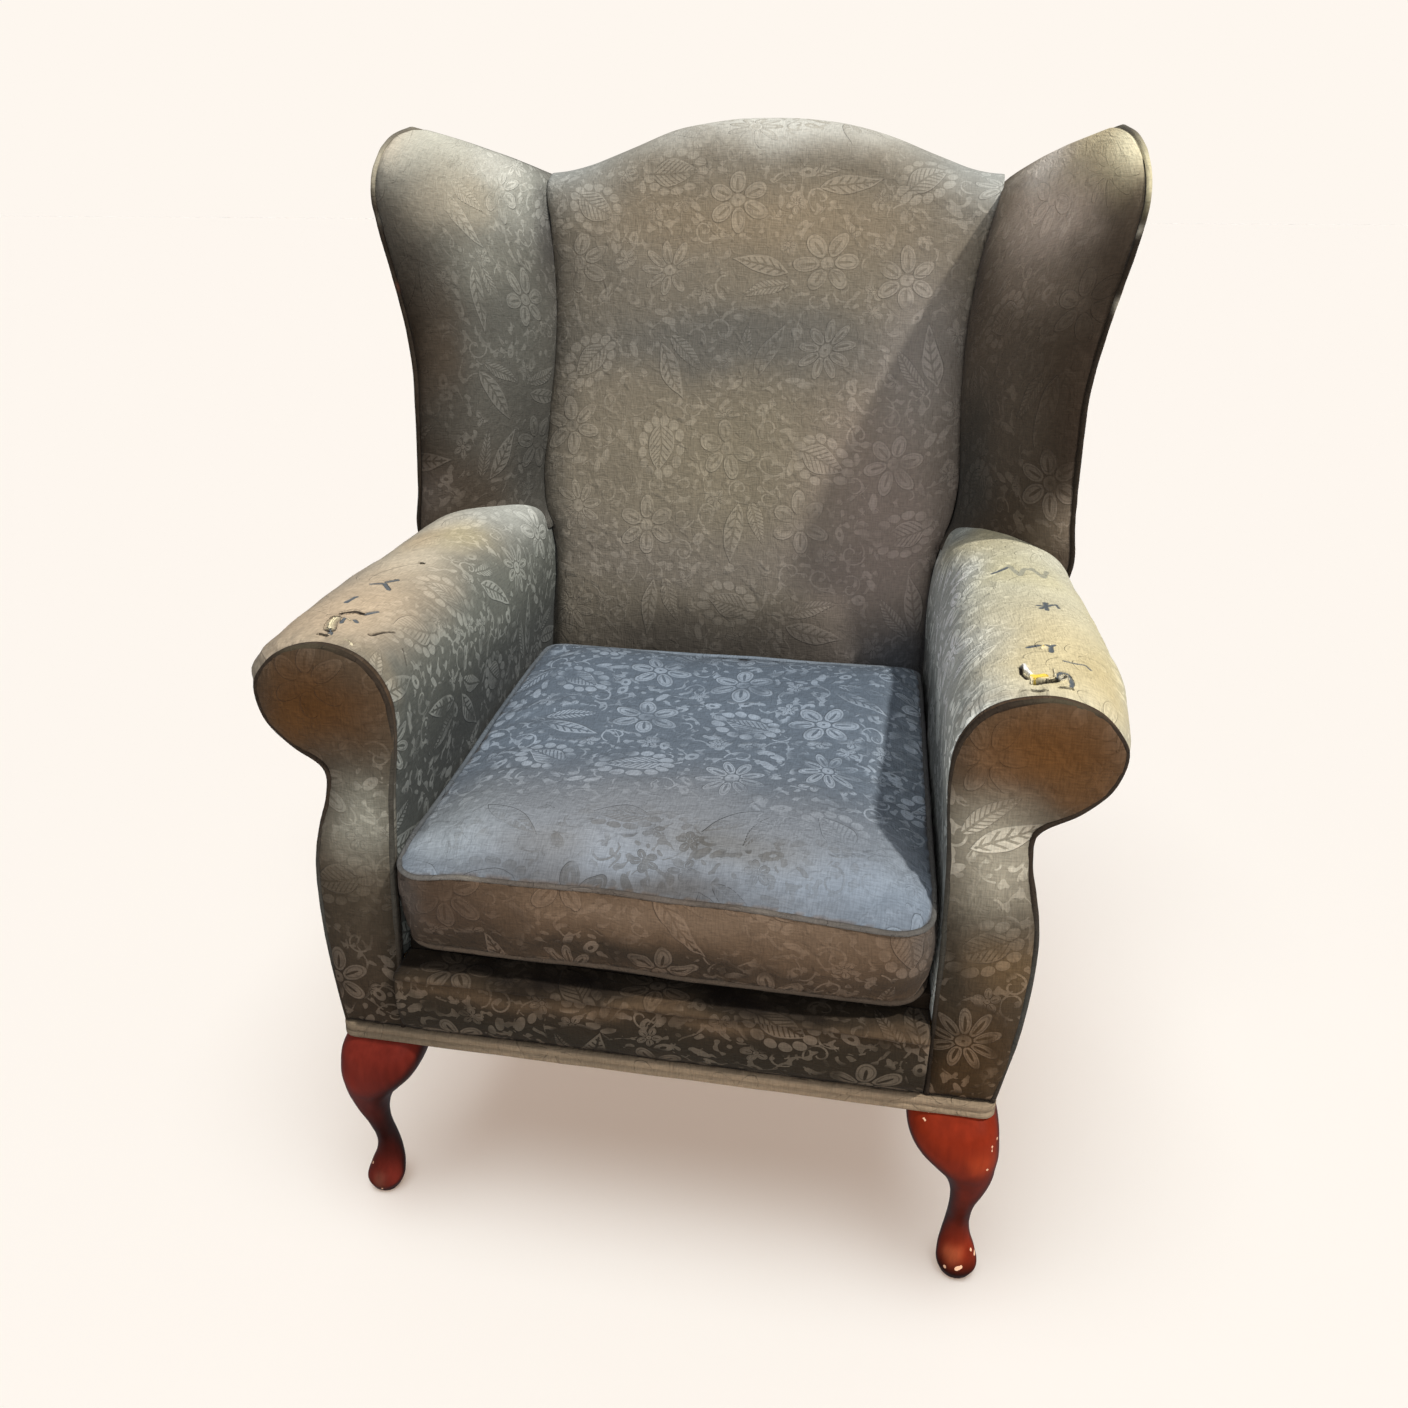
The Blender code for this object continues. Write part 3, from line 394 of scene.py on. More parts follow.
def paint(obj, ground, strokes=(), contrast=0.5, contrast_strokes=(), grime=0.5, marks=(), side=1):
    """Paints the ground of the cloth and the colour of its woven figure, painted light and shade included.

    A stroke is (mean colour, strength, centre, radii). Contrast is how much paler the figure is than the
    ground, or darker where it is negative, and its strokes are (contrast, strength, centre, radii). Strokes
    are placed as on the right side of the chair, and hold (left, right) pairs where the sides differ. A mark
    is (colour, how much each point has of it), and hides the figure.
    """
    co = coords(obj)
    moved = co + 0.014 * np.stack([noise(co, 0.07, k) for k in (1, 2, 3)], 1)
    moved += 0.004 * np.stack([noise(co, 0.018, k) for k in (4, 5, 6)], 1)

    def brushed(under, over):
        for value, strength, centre, radii in (own(side, stroke) for stroke in over):
            away = np.sum(((moved - np.array(centre) * [side, 1, 1]) / radii) ** 2, 1)[:, None]
            share = strength * np.exp(-away**1.3)
            under = under * (1 - share) + (rgb(value) if isinstance(value, str) else value) * share
        return under

    # The strokes carry painted light and painted shade as well as the cloth's own colours.
    mean = brushed(np.tile(rgb(own(side, ground)), (len(co), 1)), strokes)
    paler = brushed(np.full((len(co), 1), float(own(side, contrast))), contrast_strokes)
    mottle = 0.10 * noise(co, 0.055, 8) + 0.07 * noise(co, 0.021, 9) + 0.05 * noise(co, 0.009, 10)
    mean = mean * (1 + grime * mottle)[:, None]
    figure_share, ground_share = 0.42, 0.58
    dye_and_painted_light, figure = mean * (1 - figure_share * paler), mean * (1 + ground_share * paler)
    grey = figure.mean(1)[:, None]
    figure += (grey - figure) * np.clip(paler, 0, 1) * 0.25
    figure *= 1 + np.clip(-paler, 0, 1) * [0.12, 0.0, -0.16]
    for colour, amount in marks:
        share = np.asarray(amount)[:, None]
        dye_and_painted_light, figure = (c * (1 - share) + rgb(colour) * share for c in (dye_and_painted_light, figure))
    # Both colours hold the painted light and shade of the strokes and marks as well as the dye.
    for name, values in (("dye_and_painted_light", dye_and_painted_light), ("figure", figure)):
        layer = obj.data.attributes.new(name, "FLOAT_COLOR", "POINT")
        rgba = np.concatenate([np.clip(values, 0.002, 0.95), np.ones((len(co), 1))], 1)
        layer.data.foreach_set("color", rgba.astype(np.float32).ravel())
    return obj


# --- materials -----------------------------------------------------------------------------------------
def add(tree, kind, *values, out=0, **settings):
    """Adds a node ("Kind" or "Kind:OPERATION") with its settings, and gives its sockets values in order."""
    kind, _, operation = kind.partition(":")
    made = tree.nodes.new("ShaderNode" + kind)
    if operation:
        made.operation = operation
    for key, value in settings.items():
        setattr(made, key, value)
    for socket, value in zip([s for s in made.inputs if s.enabled], values):
        if isinstance(value, bpy.types.NodeSocket):
            tree.links.new(value, socket)
        elif value is not None:
            socket.default_value = value
    return [s for s in made.outputs if s.enabled][out]


def material(name, **values):
    """A new material, its tree and its Principled shader's inputs, with these values set on the shader."""
    made = bpy.data.materials.new(name)
    made.use_nodes = True
    shader = made.node_tree.nodes["Principled BSDF"]
    for key, value in values.items():
        shader.inputs[key.replace("_", " ")].default_value = value
    return made, made.node_tree, shader.inputs


def flower(tree, place, size, petals):
    """Separate petals round a ringed centre, each with a slit up its middle and a line inside its edge."""
    x = add(tree, "SeparateXYZ", place)
    r = add(tree, "Math:DIVIDE", add(tree, "VectorMath:LENGTH", place), size)
    angle = add(tree, "Math:ARCTAN2", x.node.outputs[1], x)
    part = add(tree, "Math:FRACT", add(tree, "Math:MULTIPLY_ADD", angle, petals / math.tau, 8.0))
    folded = add(tree, "Math:MULTIPLY_ADD", part, math.tau / petals, -math.pi / petals)
    spot = add(tree, "CombineXYZ", add(tree, "Math:MULTIPLY", r, add(tree, "Math:COSINE", folded)),
               add(tree, "Math:MULTIPLY", r, add(tree, "Math:SINE", folded)))
    away, slit = (add(tree, "VectorMath:LENGTH", add(tree, "VectorMath:MULTIPLY_ADD", spot, scale, shift))
                  for scale, shift in (((2.5, petals / 1.48, 0.0), (-1.52, 0.0, 0.0)),
                                       ((4.4, 24.0, 0.0), (-2.3, 0.0, 0.0))))
    petal = add(tree, "MapRange", away, 1.0, 0.93, interpolation_type="SMOOTHSTEP")
    petal = add(tree, "Math:SUBTRACT", petal, add(tree, "Math:LESS_THAN", slit, 1.0), use_clamp=True)
    line = add(tree, "Math:MULTIPLY", add(tree, "Math:COMPARE", away, 0.70, 0.055), 0.5)
    petal = add(tree, "Math:SUBTRACT", petal, line, use_clamp=True)
    petal = add(tree, "Math:MULTIPLY", petal, add(tree, "Math:GREATER_THAN", r, 0.24))
    return add(tree, "Math:MAXIMUM", petal, add(tree, "Math:COMPARE", r, 0.12, 0.075))


def leaf(tree, place, length, width, spacing, rim):
    """A pointed leaf along X. Its midrib is cut out of it, and slanting veins as far as its rim."""
    x = add(tree, "SeparateXYZ", place)
    y = add(tree, "Math:ABSOLUTE", x.node.outputs[1])
    s = add(tree, "Math:DIVIDE", x, length)
    belly = add(tree, "Math:SUBTRACT", 1.0, add(tree, "Math:MULTIPLY", s, s))
    belly = add(tree, "Math:MULTIPLY", belly, width)
    belly = add(tree, "Math:MULTIPLY", add(tree, "Math:MULTIPLY_ADD", s, -0.35, 1.0), belly)
    inside = add(tree, "Math:SUBTRACT", belly, y)
    shape = add(tree, "MapRange", inside, 0.0, 0.0008, interpolation_type="SMOOTHSTEP")
    slant = add(tree, "Math:MULTIPLY_ADD", add(tree, "Math:MULTIPLY_ADD", y, -1.1, x), 1 / spacing, 50.0)
    vein = add(tree, "Math:LESS_THAN", add(tree, "Math:FRACT", slant), 0.30)
    cut = add(tree, "Math:MAXIMUM", vein, add(tree, "Math:LESS_THAN", y, 0.0010))
    cut = add(tree, "Math:MULTIPLY", cut, add(tree, "Math:GREATER_THAN", inside, rim))
    return add(tree, "Math:SUBTRACT", shape, cut, use_clamp=True)


def oval(tree, place, scale, centre, hole):
    """An oval with a slit in it: scale is one over its half length and width, centre is in those units."""
    away = add(tree, "VectorMath:LENGTH", add(tree, "VectorMath:MULTIPLY_ADD", place, scale, centre))
    return add(tree, "Math:COMPARE", away, (1 + hole) / 2, (1 - hole) / 2)


def scalloped_leaf(tree, place):
    """A broad veined leaf with a ring of small ovals standing round it."""
    scaled = add(tree, "VectorMath:MULTIPLY", place, (31.0, 41.0, 0.0))
    x = add(tree, "SeparateXYZ", scaled)
    angle = add(tree, "Math:ARCTAN2", x.node.outputs[1], x)
    part = add(tree, "Math:FRACT", add(tree, "Math:MULTIPLY_ADD", angle, 13 / math.tau, 13.5))
    spot = add(tree, "CombineXYZ", add(tree, "VectorMath:LENGTH", scaled), part)
    away = add(tree, "VectorMath:LENGTH", add(tree, "VectorMath:MULTIPLY_ADD", spot, (4.6, 2.2, 0.0),
                                              (-4.35, -1.1, 0.0)))
    ring = add(tree, "Math:LESS_THAN", away, 1.0)
    return add(tree, "Math:MAXIMUM", ring, leaf(tree, place, 0.0275, 0.0155, 0.0062, 0.0022))


def scattered(tree, cloth, spacing, randomness):
    """Places in a loose lattice on the cloth: the turned vector from the nearest, its chance, its gap."""
    cell = add(tree, "TexVoronoi", cloth, 1 / spacing, 0.0, None, None, randomness, voronoi_dimensions="2D")
    chance = add(tree, "SeparateColor", cell.node.outputs["Color"])
    away = add(tree, "VectorMath:SUBTRACT", cloth, cell.node.outputs["Position"])
    turn = add(tree, "Math:MULTIPLY", chance.node.outputs[1], math.tau)
    turned = add(tree, "VectorRotate", away, None, turn, rotation_type="Z_AXIS")
    return turned, chance, add(tree, "Math:MULTIPLY", cell, spacing)


def chosen(tree, chance, common, *rarer):
    """One motif at each place: the common one, or the last of the rarer whose share is above its chance."""
    for share, motif in rarer:
        common = add(tree, "Mix", add(tree, "Math:LESS_THAN", chance, share), common, motif)
    return common


def jacquard_figure(tree, cloth):
    """Flowers and leaves 70 mm across, 96 mm apart, with sprigs, tendrils and small marks between them."""
    place, chance, away = scattered(tree, cloth, 0.096, 0.42)
    spray = leaf(tree, add(tree, "VectorMath:ADD", place, (0.0, 0.010, 0.0)), 0.037, 0.0105, 0.0100, 0.0026)
    turned = add(tree, "VectorRotate", place, (-0.034, -0.010, 0.0), -0.42, rotation_type="Z_AXIS")
    shoot = leaf(tree, add(tree, "VectorMath:ADD", turned, (0.004, -0.004, 0.0)), 0.032, 0.0085, 0.0052, 0.0)
    spray = add(tree, "Math:MAXIMUM", spray, shoot)
    main = chosen(tree, chance, spray, (0.68, scalloped_leaf(tree, place)),
                  (0.45, flower(tree, place, 0.033, 9)), (0.27, flower(tree, place, 0.036, 6)))

    place, chance, _ = scattered(tree, cloth, 0.033, 0.75)
    bud = oval(tree, place, (112.0, 185.0, 0.0), (0.0, 0.0, 0.0), 0.36)
    pair = add(tree, "Math:MAXIMUM", oval(tree, place, (95.0, 230.0, 0.0), (0.75, -0.85, 0.0), 0.0),
               oval(tree, place, (125.0, 290.0, 0.0), (-0.85, 1.0, 0.0), 0.0))
    x = add(tree, "SeparateXYZ", place)
    angle = add(tree, "Math:ARCTAN2", x.node.outputs[1], x)
    coil = add(tree, "Math:MULTIPLY_ADD", angle, 0.0021, 0.0088)
    curl = add(tree, "Math:COMPARE", add(tree, "VectorMath:LENGTH", place), coil, 0.0010)
    sprig = chosen(tree, chance, flower(tree, place, 0.0125, 5), (0.78, curl), (0.48, pair), (0.26, bud))
    clear = add(tree, "MapRange", away, 0.034, 0.040, interpolation_type="SMOOTHSTEP")
    sprig = add(tree, "Math:MULTIPLY", sprig, clear)

    wander = add(tree, "TexNoise", cloth, 26.0, 0.0, 0.5, noise_dimensions="2D")
    tendril = add(tree, "Math:COMPARE", wander, 0.52, 0.017)
    marks = add(tree, "TexNoise", cloth, 118.0, 0.0, 0.5, noise_dimensions="2D")
    tendril = add(tree, "Math:MULTIPLY", tendril, add(tree, "Math:GREATER_THAN", marks, 0.42))
    small = add(tree, "Math:MAXIMUM", tendril, add(tree, "Math:GREATER_THAN", marks, 0.66))
    small = add(tree, "Math:MULTIPLY", small, add(tree, "Math:MULTIPLY", clear, 0.8))
    figure = add(tree, "Math:MAXIMUM", add(tree, "Math:MAXIMUM", main, sprig), small)
    rubbed = add(tree, "TexNoise", cloth, 21.0, 2.0, 0.6, noise_dimensions="2D")
    left_over = add(tree, "MapRange", rubbed, 0.22, 0.56, interpolation_type="SMOOTHSTEP")
    return add(tree, "Math:MULTIPLY", figure, left_over)


def woven_jacquard():
    """Cotton and viscose jacquard: a matt ground with a slightly raised, smoother figure, worn soft."""
    made, tree, shader = material("woven_jacquard", Roughness=0.86, Sheen_Weight=0.02, Sheen_Roughness=0.5,
                                  Specular_IOR_Level=0.10)
    cloth = add(tree, "UVMap", uv_map="cloth")
    drift = add(tree, "TexNoise", cloth, 16.0, 1.0, 0.5, out=1, noise_dimensions="2D")
    figure = jacquard_figure(tree, add(tree, "VectorMath:MULTIPLY_ADD", drift, (0.012, 0.012, 0.0), cloth))
    # Slubs run along warp and weft. Real threads are 0.4 mm, drawn about 1.5 mm wide so that they show.
    warp, weft = (add(tree, "TexNoise", add(tree, "VectorMath:MULTIPLY", cloth, per_metre), 1.0, 0.0, 0.5,
                      noise_dimensions="2D") for per_metre in ((700.0, 110.0, 0.0), (110.0, 700.0, 0.0)))
    slub = add(tree, "Math:ADD", warp, weft)
    # The painted colours read here include painted light and shade.
    colour = add(tree, "Mix", figure, add(tree, "Attribute", attribute_name="dye_and_painted_light"),
                 add(tree, "Attribute", attribute_name="figure"), data_type="RGBA")
    shade = add(tree, "MapRange", slub, 0.6, 1.4, 0.89, 1.11)
    tree.links.new(add(tree, "VectorMath:SCALE", colour, shade), shader["Base Color"])
    crumple = add(tree, "TexNoise", cloth, 75.0, 2.0, 0.5, None, 0.8, noise_dimensions="2D")
    height = add(tree, "Math:MULTIPLY_ADD", slub, 0.18, figure)
    height = add(tree, "Math:MULTIPLY_ADD", crumple, 1.1, height)
    tree.links.new(add(tree, "Bump", 0.8, 0.0018, None, height), shader["Normal"])
    return made


def lacquered_mahogany(name, stain=None):
    """Red-stained mahogany in worn lacquer: deep colour, soft highlights, pale chips where it was knocked."""
    made, tree, shader = material(name, Roughness=0.42, Coat_Weight=0.05, Coat_Roughness=0.26,
                                  Specular_IOR_Level=0.05)
    where = add(tree, "TexCoord", out=3)
    drawn_out = add(tree, "VectorMath:MULTIPLY", where, (150.0, 150.0, 16.0))
    grain = add(tree, "TexNoise", drawn_out, 1.0, 3.0, 0.55)
    # On the front legs the painted colour includes painted shade and painted highlights.
    colour = linear(stain)[:3] if stain else add(tree, "Attribute", attribute_name="dye_and_painted_light")
    colour = add(tree, "VectorMath:SCALE", colour, add(tree, "MapRange", grain, 0.3, 0.75, 0.86, 1.16))
    chips = add(tree, "Attribute", attribute_name="chips").node.outputs["Fac"]
    rough = add(tree, "TexNoise", where, 420.0, 2.0, 0.6)
    depth = add(tree, "Math:ADD", chips, add(tree, "Math:MULTIPLY", rough, 0.5))
    chipped = add(tree, "MapRange", depth, 0.86, 0.90, interpolation_type="SMOOTHSTEP")
    colour = add(tree, "Mix", chipped, colour, linear("#dfb292"), data_type="RGBA")
    tree.links.new(colour, shader["Base Color"])
    height = add(tree, "Math:MULTIPLY_ADD", chipped, -1.0, add(tree, "Math:MULTIPLY", grain, 0.06))
    tree.links.new(add(tree, "Bump", 0.35, 0.0006, None, height), shader["Normal"])
    return made


def plain_finish(name, dark, light, size, bump, **values):
    """A finish with grain or speckle of this size in metres between two colours, the same all over."""
    made, tree, shader = material(name, **values)
    where = add(tree, "TexCoord", out=3)
    speckle = add(tree, "TexNoise", where, 1 / size, 3.0, 0.6)
    share = add(tree, "MapRange", speckle, 0.3, 0.7, interpolation_type="SMOOTHSTEP")
    colour = add(tree, "Mix", share, linear(dark), linear(light), data_type="RGBA")
    tree.links.new(colour, shader["Base Color"])
    tree.links.new(add(tree, "Bump", 0.4, bump, None, speckle), shader["Normal"])
    return made


# --- upholstery ----------------------------------------------------------------------------------------
def kept(obj, *nodes, slot="jacquard", fill=None, finish=None):
    """Puts a piece on the chair in place of these CAD nodes."""
    obj.data.materials.clear()
    obj.data.materials.append(finish or JACQUARD)
    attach(obj, "root")
    if nodes:
        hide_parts(*nodes)
    return obj


def back_section(x):
    """Side view of the inside back at x: up its front, over the rounded crest and down to the rail."""
    top = crest(x)
    ridge_y, ridge_r = 0.3450, 0.050
    front_top = top - ridge_r
    z = np.linspace(0.3060, front_top, 60)
    front = np.stack([back_front(z), z], 1)
    a = np.radians(np.linspace(4, 90, 24))
    over = np.stack([ridge_y - (ridge_y - back_front(front_top)) * np.cos(a),
                     top - ridge_r * (1 - np.sin(a))], 1)
    rail_z = top - CREST_PAD
    rear_y = rear(rail_z) - PANEL - 2 * GAP
    b = np.radians(np.linspace(6, 84, 16))
    down = np.stack([lerp(ridge_y, rear_y, np.sin(b)), rail_z + CREST_PAD * np.cos(b)], 1)
    return evenly(np.vstack([front, over, down]), 150)


def inside_back():
    """One crowned pad from the seat over the crest, hollow where people leant, with its edges drawn back."""
    shares = np.sin(np.linspace(-np.pi / 2, np.pi / 2, 93)) * 0.35 + np.linspace(-1, 1, 93) * 0.65
    rings, cloth = [], []
    for share in shares:
        y, z = back_section(share * SHOULDER_X).T
        width = back_half(np.minimum(z, 1.005))
        x = share * width
        edge = (1 - abs(share)) * width
        face = smoothstep(0.02, -0.02, y - back_front(z) - 0.02)
        y = y - BACK_CROWN * (1 - share**2) * face + 0.010 * np.exp(-edge / 0.010)
        hidden = np.stack([np.full(8, x[-1]), np.linspace(post_front(z[-1]), post_front(0.31), 8) - 0.001,
                           np.linspace(z[-1] - 0.004, 0.306, 8)], 1)
        ring = np.vstack([np.stack([x, y, z], 1), hidden])
        rings.append(ring)
        cloth.append(np.stack([ring[:, 0], lengths(ring)], 1))
    cloth = np.array(cloth)
    cloth = np.concatenate([cloth, cloth[:, -1:] + [0, 0.01]], 1)
    pad = skin("inside_back_pad", np.array(rings), cloth + [0.31, 0.07])
    co = coords(pad)
    hollow = np.exp(-((co[:, 0] / 0.17) ** 2 + ((co[:, 2] - 0.62) / 0.13) ** 2))
    swell(pad, -0.006 * hollow + 0.0022 * noise(co, 0.13, 1) + 0.0010 * noise(co, 0.045, 2))
    # Painted light and shade: the pale band over the crest and its corners are painted light; the darker foot
    # by the cushion, deepest on the right, and the darker side edges by the wings are painted shade; the
    # lighter strokes on the right soften the wing's cast shadow.
    paint(pad, "#82796a", [
        ("#37332f", 0.92, (0.0, 0.110, 0.455), (0.32, 0.10, 0.092)),
        ("#78716a", 0.50, (0.0, 0.140, 0.580), (0.30, 0.10, 0.040)),
        ("#8a806c", 0.70, (0.00, 0.180, 0.690), (0.15, 0.10, 0.080)),
        ("#66645f", 0.85, (-0.02, 0.215, 0.820), (0.25, 0.10, 0.040)),
        ("#746e64", 0.70, (-0.17, 0.240, 0.900), (0.10, 0.10, 0.060)),
        ("#92836d", 0.85, (0.01, 0.270, 0.955), (0.20, 0.10, 0.042)),
        ("#c6c5bd", 0.97, (0.00, 0.330, 1.068), (0.37, 0.085, 0.040)),
        ("#b3b6b2", 0.85, (0.26, 0.330, 1.000), (0.09, 0.08, 0.050)),
        ("#b3b6b2", 0.85, (-0.26, 0.330, 1.000), (0.09, 0.08, 0.050)),
        ("#93837a", 0.75, (0.17, 0.150, 0.640), (0.10, 0.10, 0.16)),
        ("#8d8680", 0.65, (0.20, 0.200, 0.820), (0.06, 0.10, 0.12)),
        ("#41464d", 0.85, (0.23, 0.120, 0.470), (0.085, 0.08, 0.065)),
        ("#55514a", 0.60, (-0.238, 0.200, 0.680), (0.028, 0.20, 0.34)),
        ("#5a524b", 0.50, (0.240, 0.200, 0.660), (0.024, 0.20, 0.32)),
    ], contrast=0.36, contrast_strokes=[(-0.38, 0.95, (0.0, 0.33, 1.065), (0.36, 0.075, 0.042))])
    return kept(pad, "inside_back", fill=0.75)


def wing_lines(h):
    """Plan of the wing at a share h of its height: front edge, seam with the back, rear outer corner."""
    z_front, z_rear = lerp(WING_FOOT_FRONT, WING_TOP_FRONT, h), lerp(WING_FOOT_REAR, WING_TOP_REAR, h)
    key_z = lerp(WING_EDGE[0][0], WING_EDGE[-1][0], h)
    edge = np.array([keyed(WING_EDGE, key_z, 1), keyed(WING_EDGE, key_z, 2)])
    corner = np.array([lerp(OUT_REAR, 0.2880, h), rear(z_rear) - PANEL - 2 * GAP])
    behind_cord = 0.0036
    edge = edge + behind_cord * (corner - edge) / np.linalg.norm(corner - edge)
    seam = np.array([back_half(z_rear) + 2 * GAP, back_front(z_rear)])
    return edge, seam, corner, z_front, z_rear


def outer_line(h, u, inset=0.0):
    """Points on the wing's hollow outer face, at shares u of the way from its front edge to its rear."""
    edge, _, corner, z_front, z_rear = wing_lines(h)
    along = (corner - edge) / np.linalg.norm(corner - edge)
    out = np.array([along[1], -along[0]])
    u = np.asarray(u, float)[..., None]
    plan = lerp(edge, corner, u) - out * (inset + WING_HOLLOW * np.sin(np.pi * u))
    return np.concatenate([plan, lerp(z_front, z_rear, u)], -1)


def wing_pad(side, word):
    """The wing's swelling inner face, from its front edge to the back, rounded over at its top."""
    hs = np.concatenate([np.linspace(0, 0.86, 66), 0.86 + 0.14 * np.sin(np.linspace(0.05, np.pi / 2, 24))])
    u, t = np.linspace(0, 1, 44) ** 1.2, np.array([0.2, 0.4, 0.6, 0.8, 1.0])
    rings = []
    for h in hs:
        _, seam, corner, _, z_rear = wing_lines(h)
        start, end = outer_line(h, 0.0, 0.0012), np.array([*seam, z_rear])
        face = (seam - start[:2]) / np.linalg.norm(seam - start[:2])
        normal = np.array([-face[1], face[0], 0.0])
        rise = np.sin(np.pi * u**0.62) ** 0.82
        inside = lerp(start, end, u[:, None]) + normal * (WING_SWELL + 0.003) * rise[:, None]
        beside = lerp(end, np.array([seam[0], corner[1] - 0.002, z_rear]), t[:, None])
        share = np.concatenate([0.62 * u, 0.62 + 0.38 * t])
        depth = np.concatenate([lerp(0.14, 0.045, u), np.full(5, 0.03)])
        close = np.sqrt(1 - np.clip((h - 1 + depth) / depth, 0, 1) ** 2)[:, None]
        ring = lerp(outer_line(h, share, 0.0015), np.vstack([inside, beside]), close)
        ring[:, 2] += 0.0050 * (1 - close[:, 0]) * (0.4 + 0.6 * smoothstep(0.0, 0.08, share))
        rings.append(np.vstack([ring, outer_line(h, np.array([0.9, 0.7, 0.5, 0.3, 0.12]), PANEL)]))
    points = mirrored(rings, side)
    cloth = wrap_uv(points, lengths(points[:, 20]))[..., ::-1]
    pad = skin(f"wing_pad_soft_{word}", points, cloth + [own(side, (2.9, 1.7)), 0.2])
    dents(pad, (0.10, 0.0018, 3), (0.04, 0.0008, 4))
    # Painted light and shade: the pale top, the pale rim along it and the bright spot at the peak are painted
    # highlight; the dark strokes by the seam with the back are painted shade, and the dark band down the
    # front edge is in part painted shade.
    paint(pad, ("#5f5c55", "#584e43"), [
        (("#64645e", "#62564a"), 0.75, (0.285, 0.170, 0.83), (0.05, 0.08, 0.11)),
        (("#8a897f", "#8d7f71"), 0.80, (0.310, 0.130, 0.91), (0.055, 0.08, 0.040)),
        (("#b3b4ab", "#a59784"), 0.90, (0.300, 0.220, 0.990), (0.070, 0.13, 0.055)),
        (("#21180f", "#2a2018"), 0.98, (0.374, 0.048, 0.77), (0.058, 0.120, 0.23)),
        ("#4a3e32", 0.70, (0.335, 0.110, 0.820), (0.026, 0.06, 0.080)),
        ("#4a3f34", 0.88, (0.330, 0.080, 0.640), (0.085, 0.09, 0.070)),
        (("#5e564f", "#7c6f60"), 0.75, (0.350, 0.075, 0.655), (0.030, 0.05, 0.030)),
        (("#c9c8bb", "#cfc09c"), 0.97, (0.350, 0.100, 1.040), (0.060, 0.10, 0.044)),
        (("#b3aa97", "#c4b4a6"), 0.92, ((0.338, 0.312), 0.140, 0.974), (0.044, 0.10, (0.036, 0.044))),
        (("#c7b9a4", "#efe6c4"), 0.94, (0.376, 0.060, 1.032), (0.026, 0.045, 0.024)),
        (("#cfcec4", "#e9dfd2"), 0.85, (0.294, 0.195, 1.014), (0.040, 0.07, 0.022)),
        ("#2c2b28", 0.85, (0.286, 0.207, 0.675), (0.020, 0.06, 0.045)),
        ("#41403c", 0.75, (0.250, 0.170, 0.68), (0.028, 0.10, 0.10)),
        ("#36343a", 0.50, (0.262, 0.280, 0.90), (0.016, 0.05, 0.16)),
    ], contrast=(0.50, 0.30), contrast_strokes=[
        (0.04, 0.97, (0.375, 0.05, 0.82), (0.052, 0.105, 0.26)),
        (0.02, 0.97, (0.35, 0.10, 1.03), (0.09, 0.16, 0.075)),
        (0.75, 0.90, (0.335, 0.09, 0.690), (0.055, 0.09, 0.055)),
    ], side=side)
    return kept(pad, f"wing_pad_{word}", fill=0.7)


def outside_wing(side, word):
    """Cloth drawn tight over card, a little hollow, from the front edge's piping to the back corner."""
    u = np.linspace(0, 1, 40)
    rings = []
    for h in np.linspace(0, 1, 64):
        rings.append(np.vstack([outer_line(h, u), outer_line(h, u[::-1], PANEL - GAP)]))
    points = mirrored(rings, side)
    cloth = wrap_uv(points, lengths(points[:, 20]))[..., ::-1]
    panel = skin(f"wing_outside_{word}", points, cloth + [4.1 + side, 0.5])
    edge = np.tile(np.isin(np.arange(80), (0, 79)), len(rings))
    paint(panel, "#5a6063", [
        ("#8b8a80", 0.6, (0.37, 0.06, 1.02), (0.06, 0.06, 0.05)),
        ("#453f38", 0.6, (0.37, 0.04, 0.75), (0.03, 0.05, 0.2)),
    ], marks=[("#2c2620", 0.9 * edge)], side=side)
    return kept(panel, f"outside_wing_{word}")


def wing_piping(side, word):
    """Follows the pad's edge up the front, over the peak and down towards the back."""
    h, u = 1 - np.linspace(0.97, 0, 70) ** 1.5, np.linspace(0.03, 0.97, 24)
    path, out = (np.vstack([[outer_line(share, 0.0, inset) for share in h], outer_line(1.0, u, inset)])
                 for inset in (0.0, -0.01))
    path[:, 2] += 0.0010 * smoothstep(0.93, 1.0, np.concatenate([h, np.ones(len(u))]))
    forward = unit(np.cross(np.gradient(path, axis=0), out - path * [1, 1, 0] - out * [0, 0, 1]))
    path = mirrored(evenly(path - 0.0004 * forward, 130), side)
    cord = tube(f"wing_cord_{word}", path, PIPING_R)
    # Painted highlight: the cord is paler at the peak and along the top.
    paint(cord, "#2e2720", [
        (("#b5ad98", "#dcd2ad"), 0.92, (0.384, 0.030, 1.012), (0.03, 0.03, 0.030)),
        ("#8d877a", 0.8, (0.34, 0.14, 1.030), (0.06, 0.12, 0.03)),
        ("#c9c3b2", 0.8, (0.386, 0.03, 0.955), (0.01, 0.01, 0.007)),
        (("#8a5040", "#c9c3b2"), 0.8, (0.375, 0.05, 0.885), (0.01, 0.01, 0.006)),
    ], contrast=0.1, grime=1.2, side=side)
    return kept(cord, f"wing_piping_{word}", slot="piping")


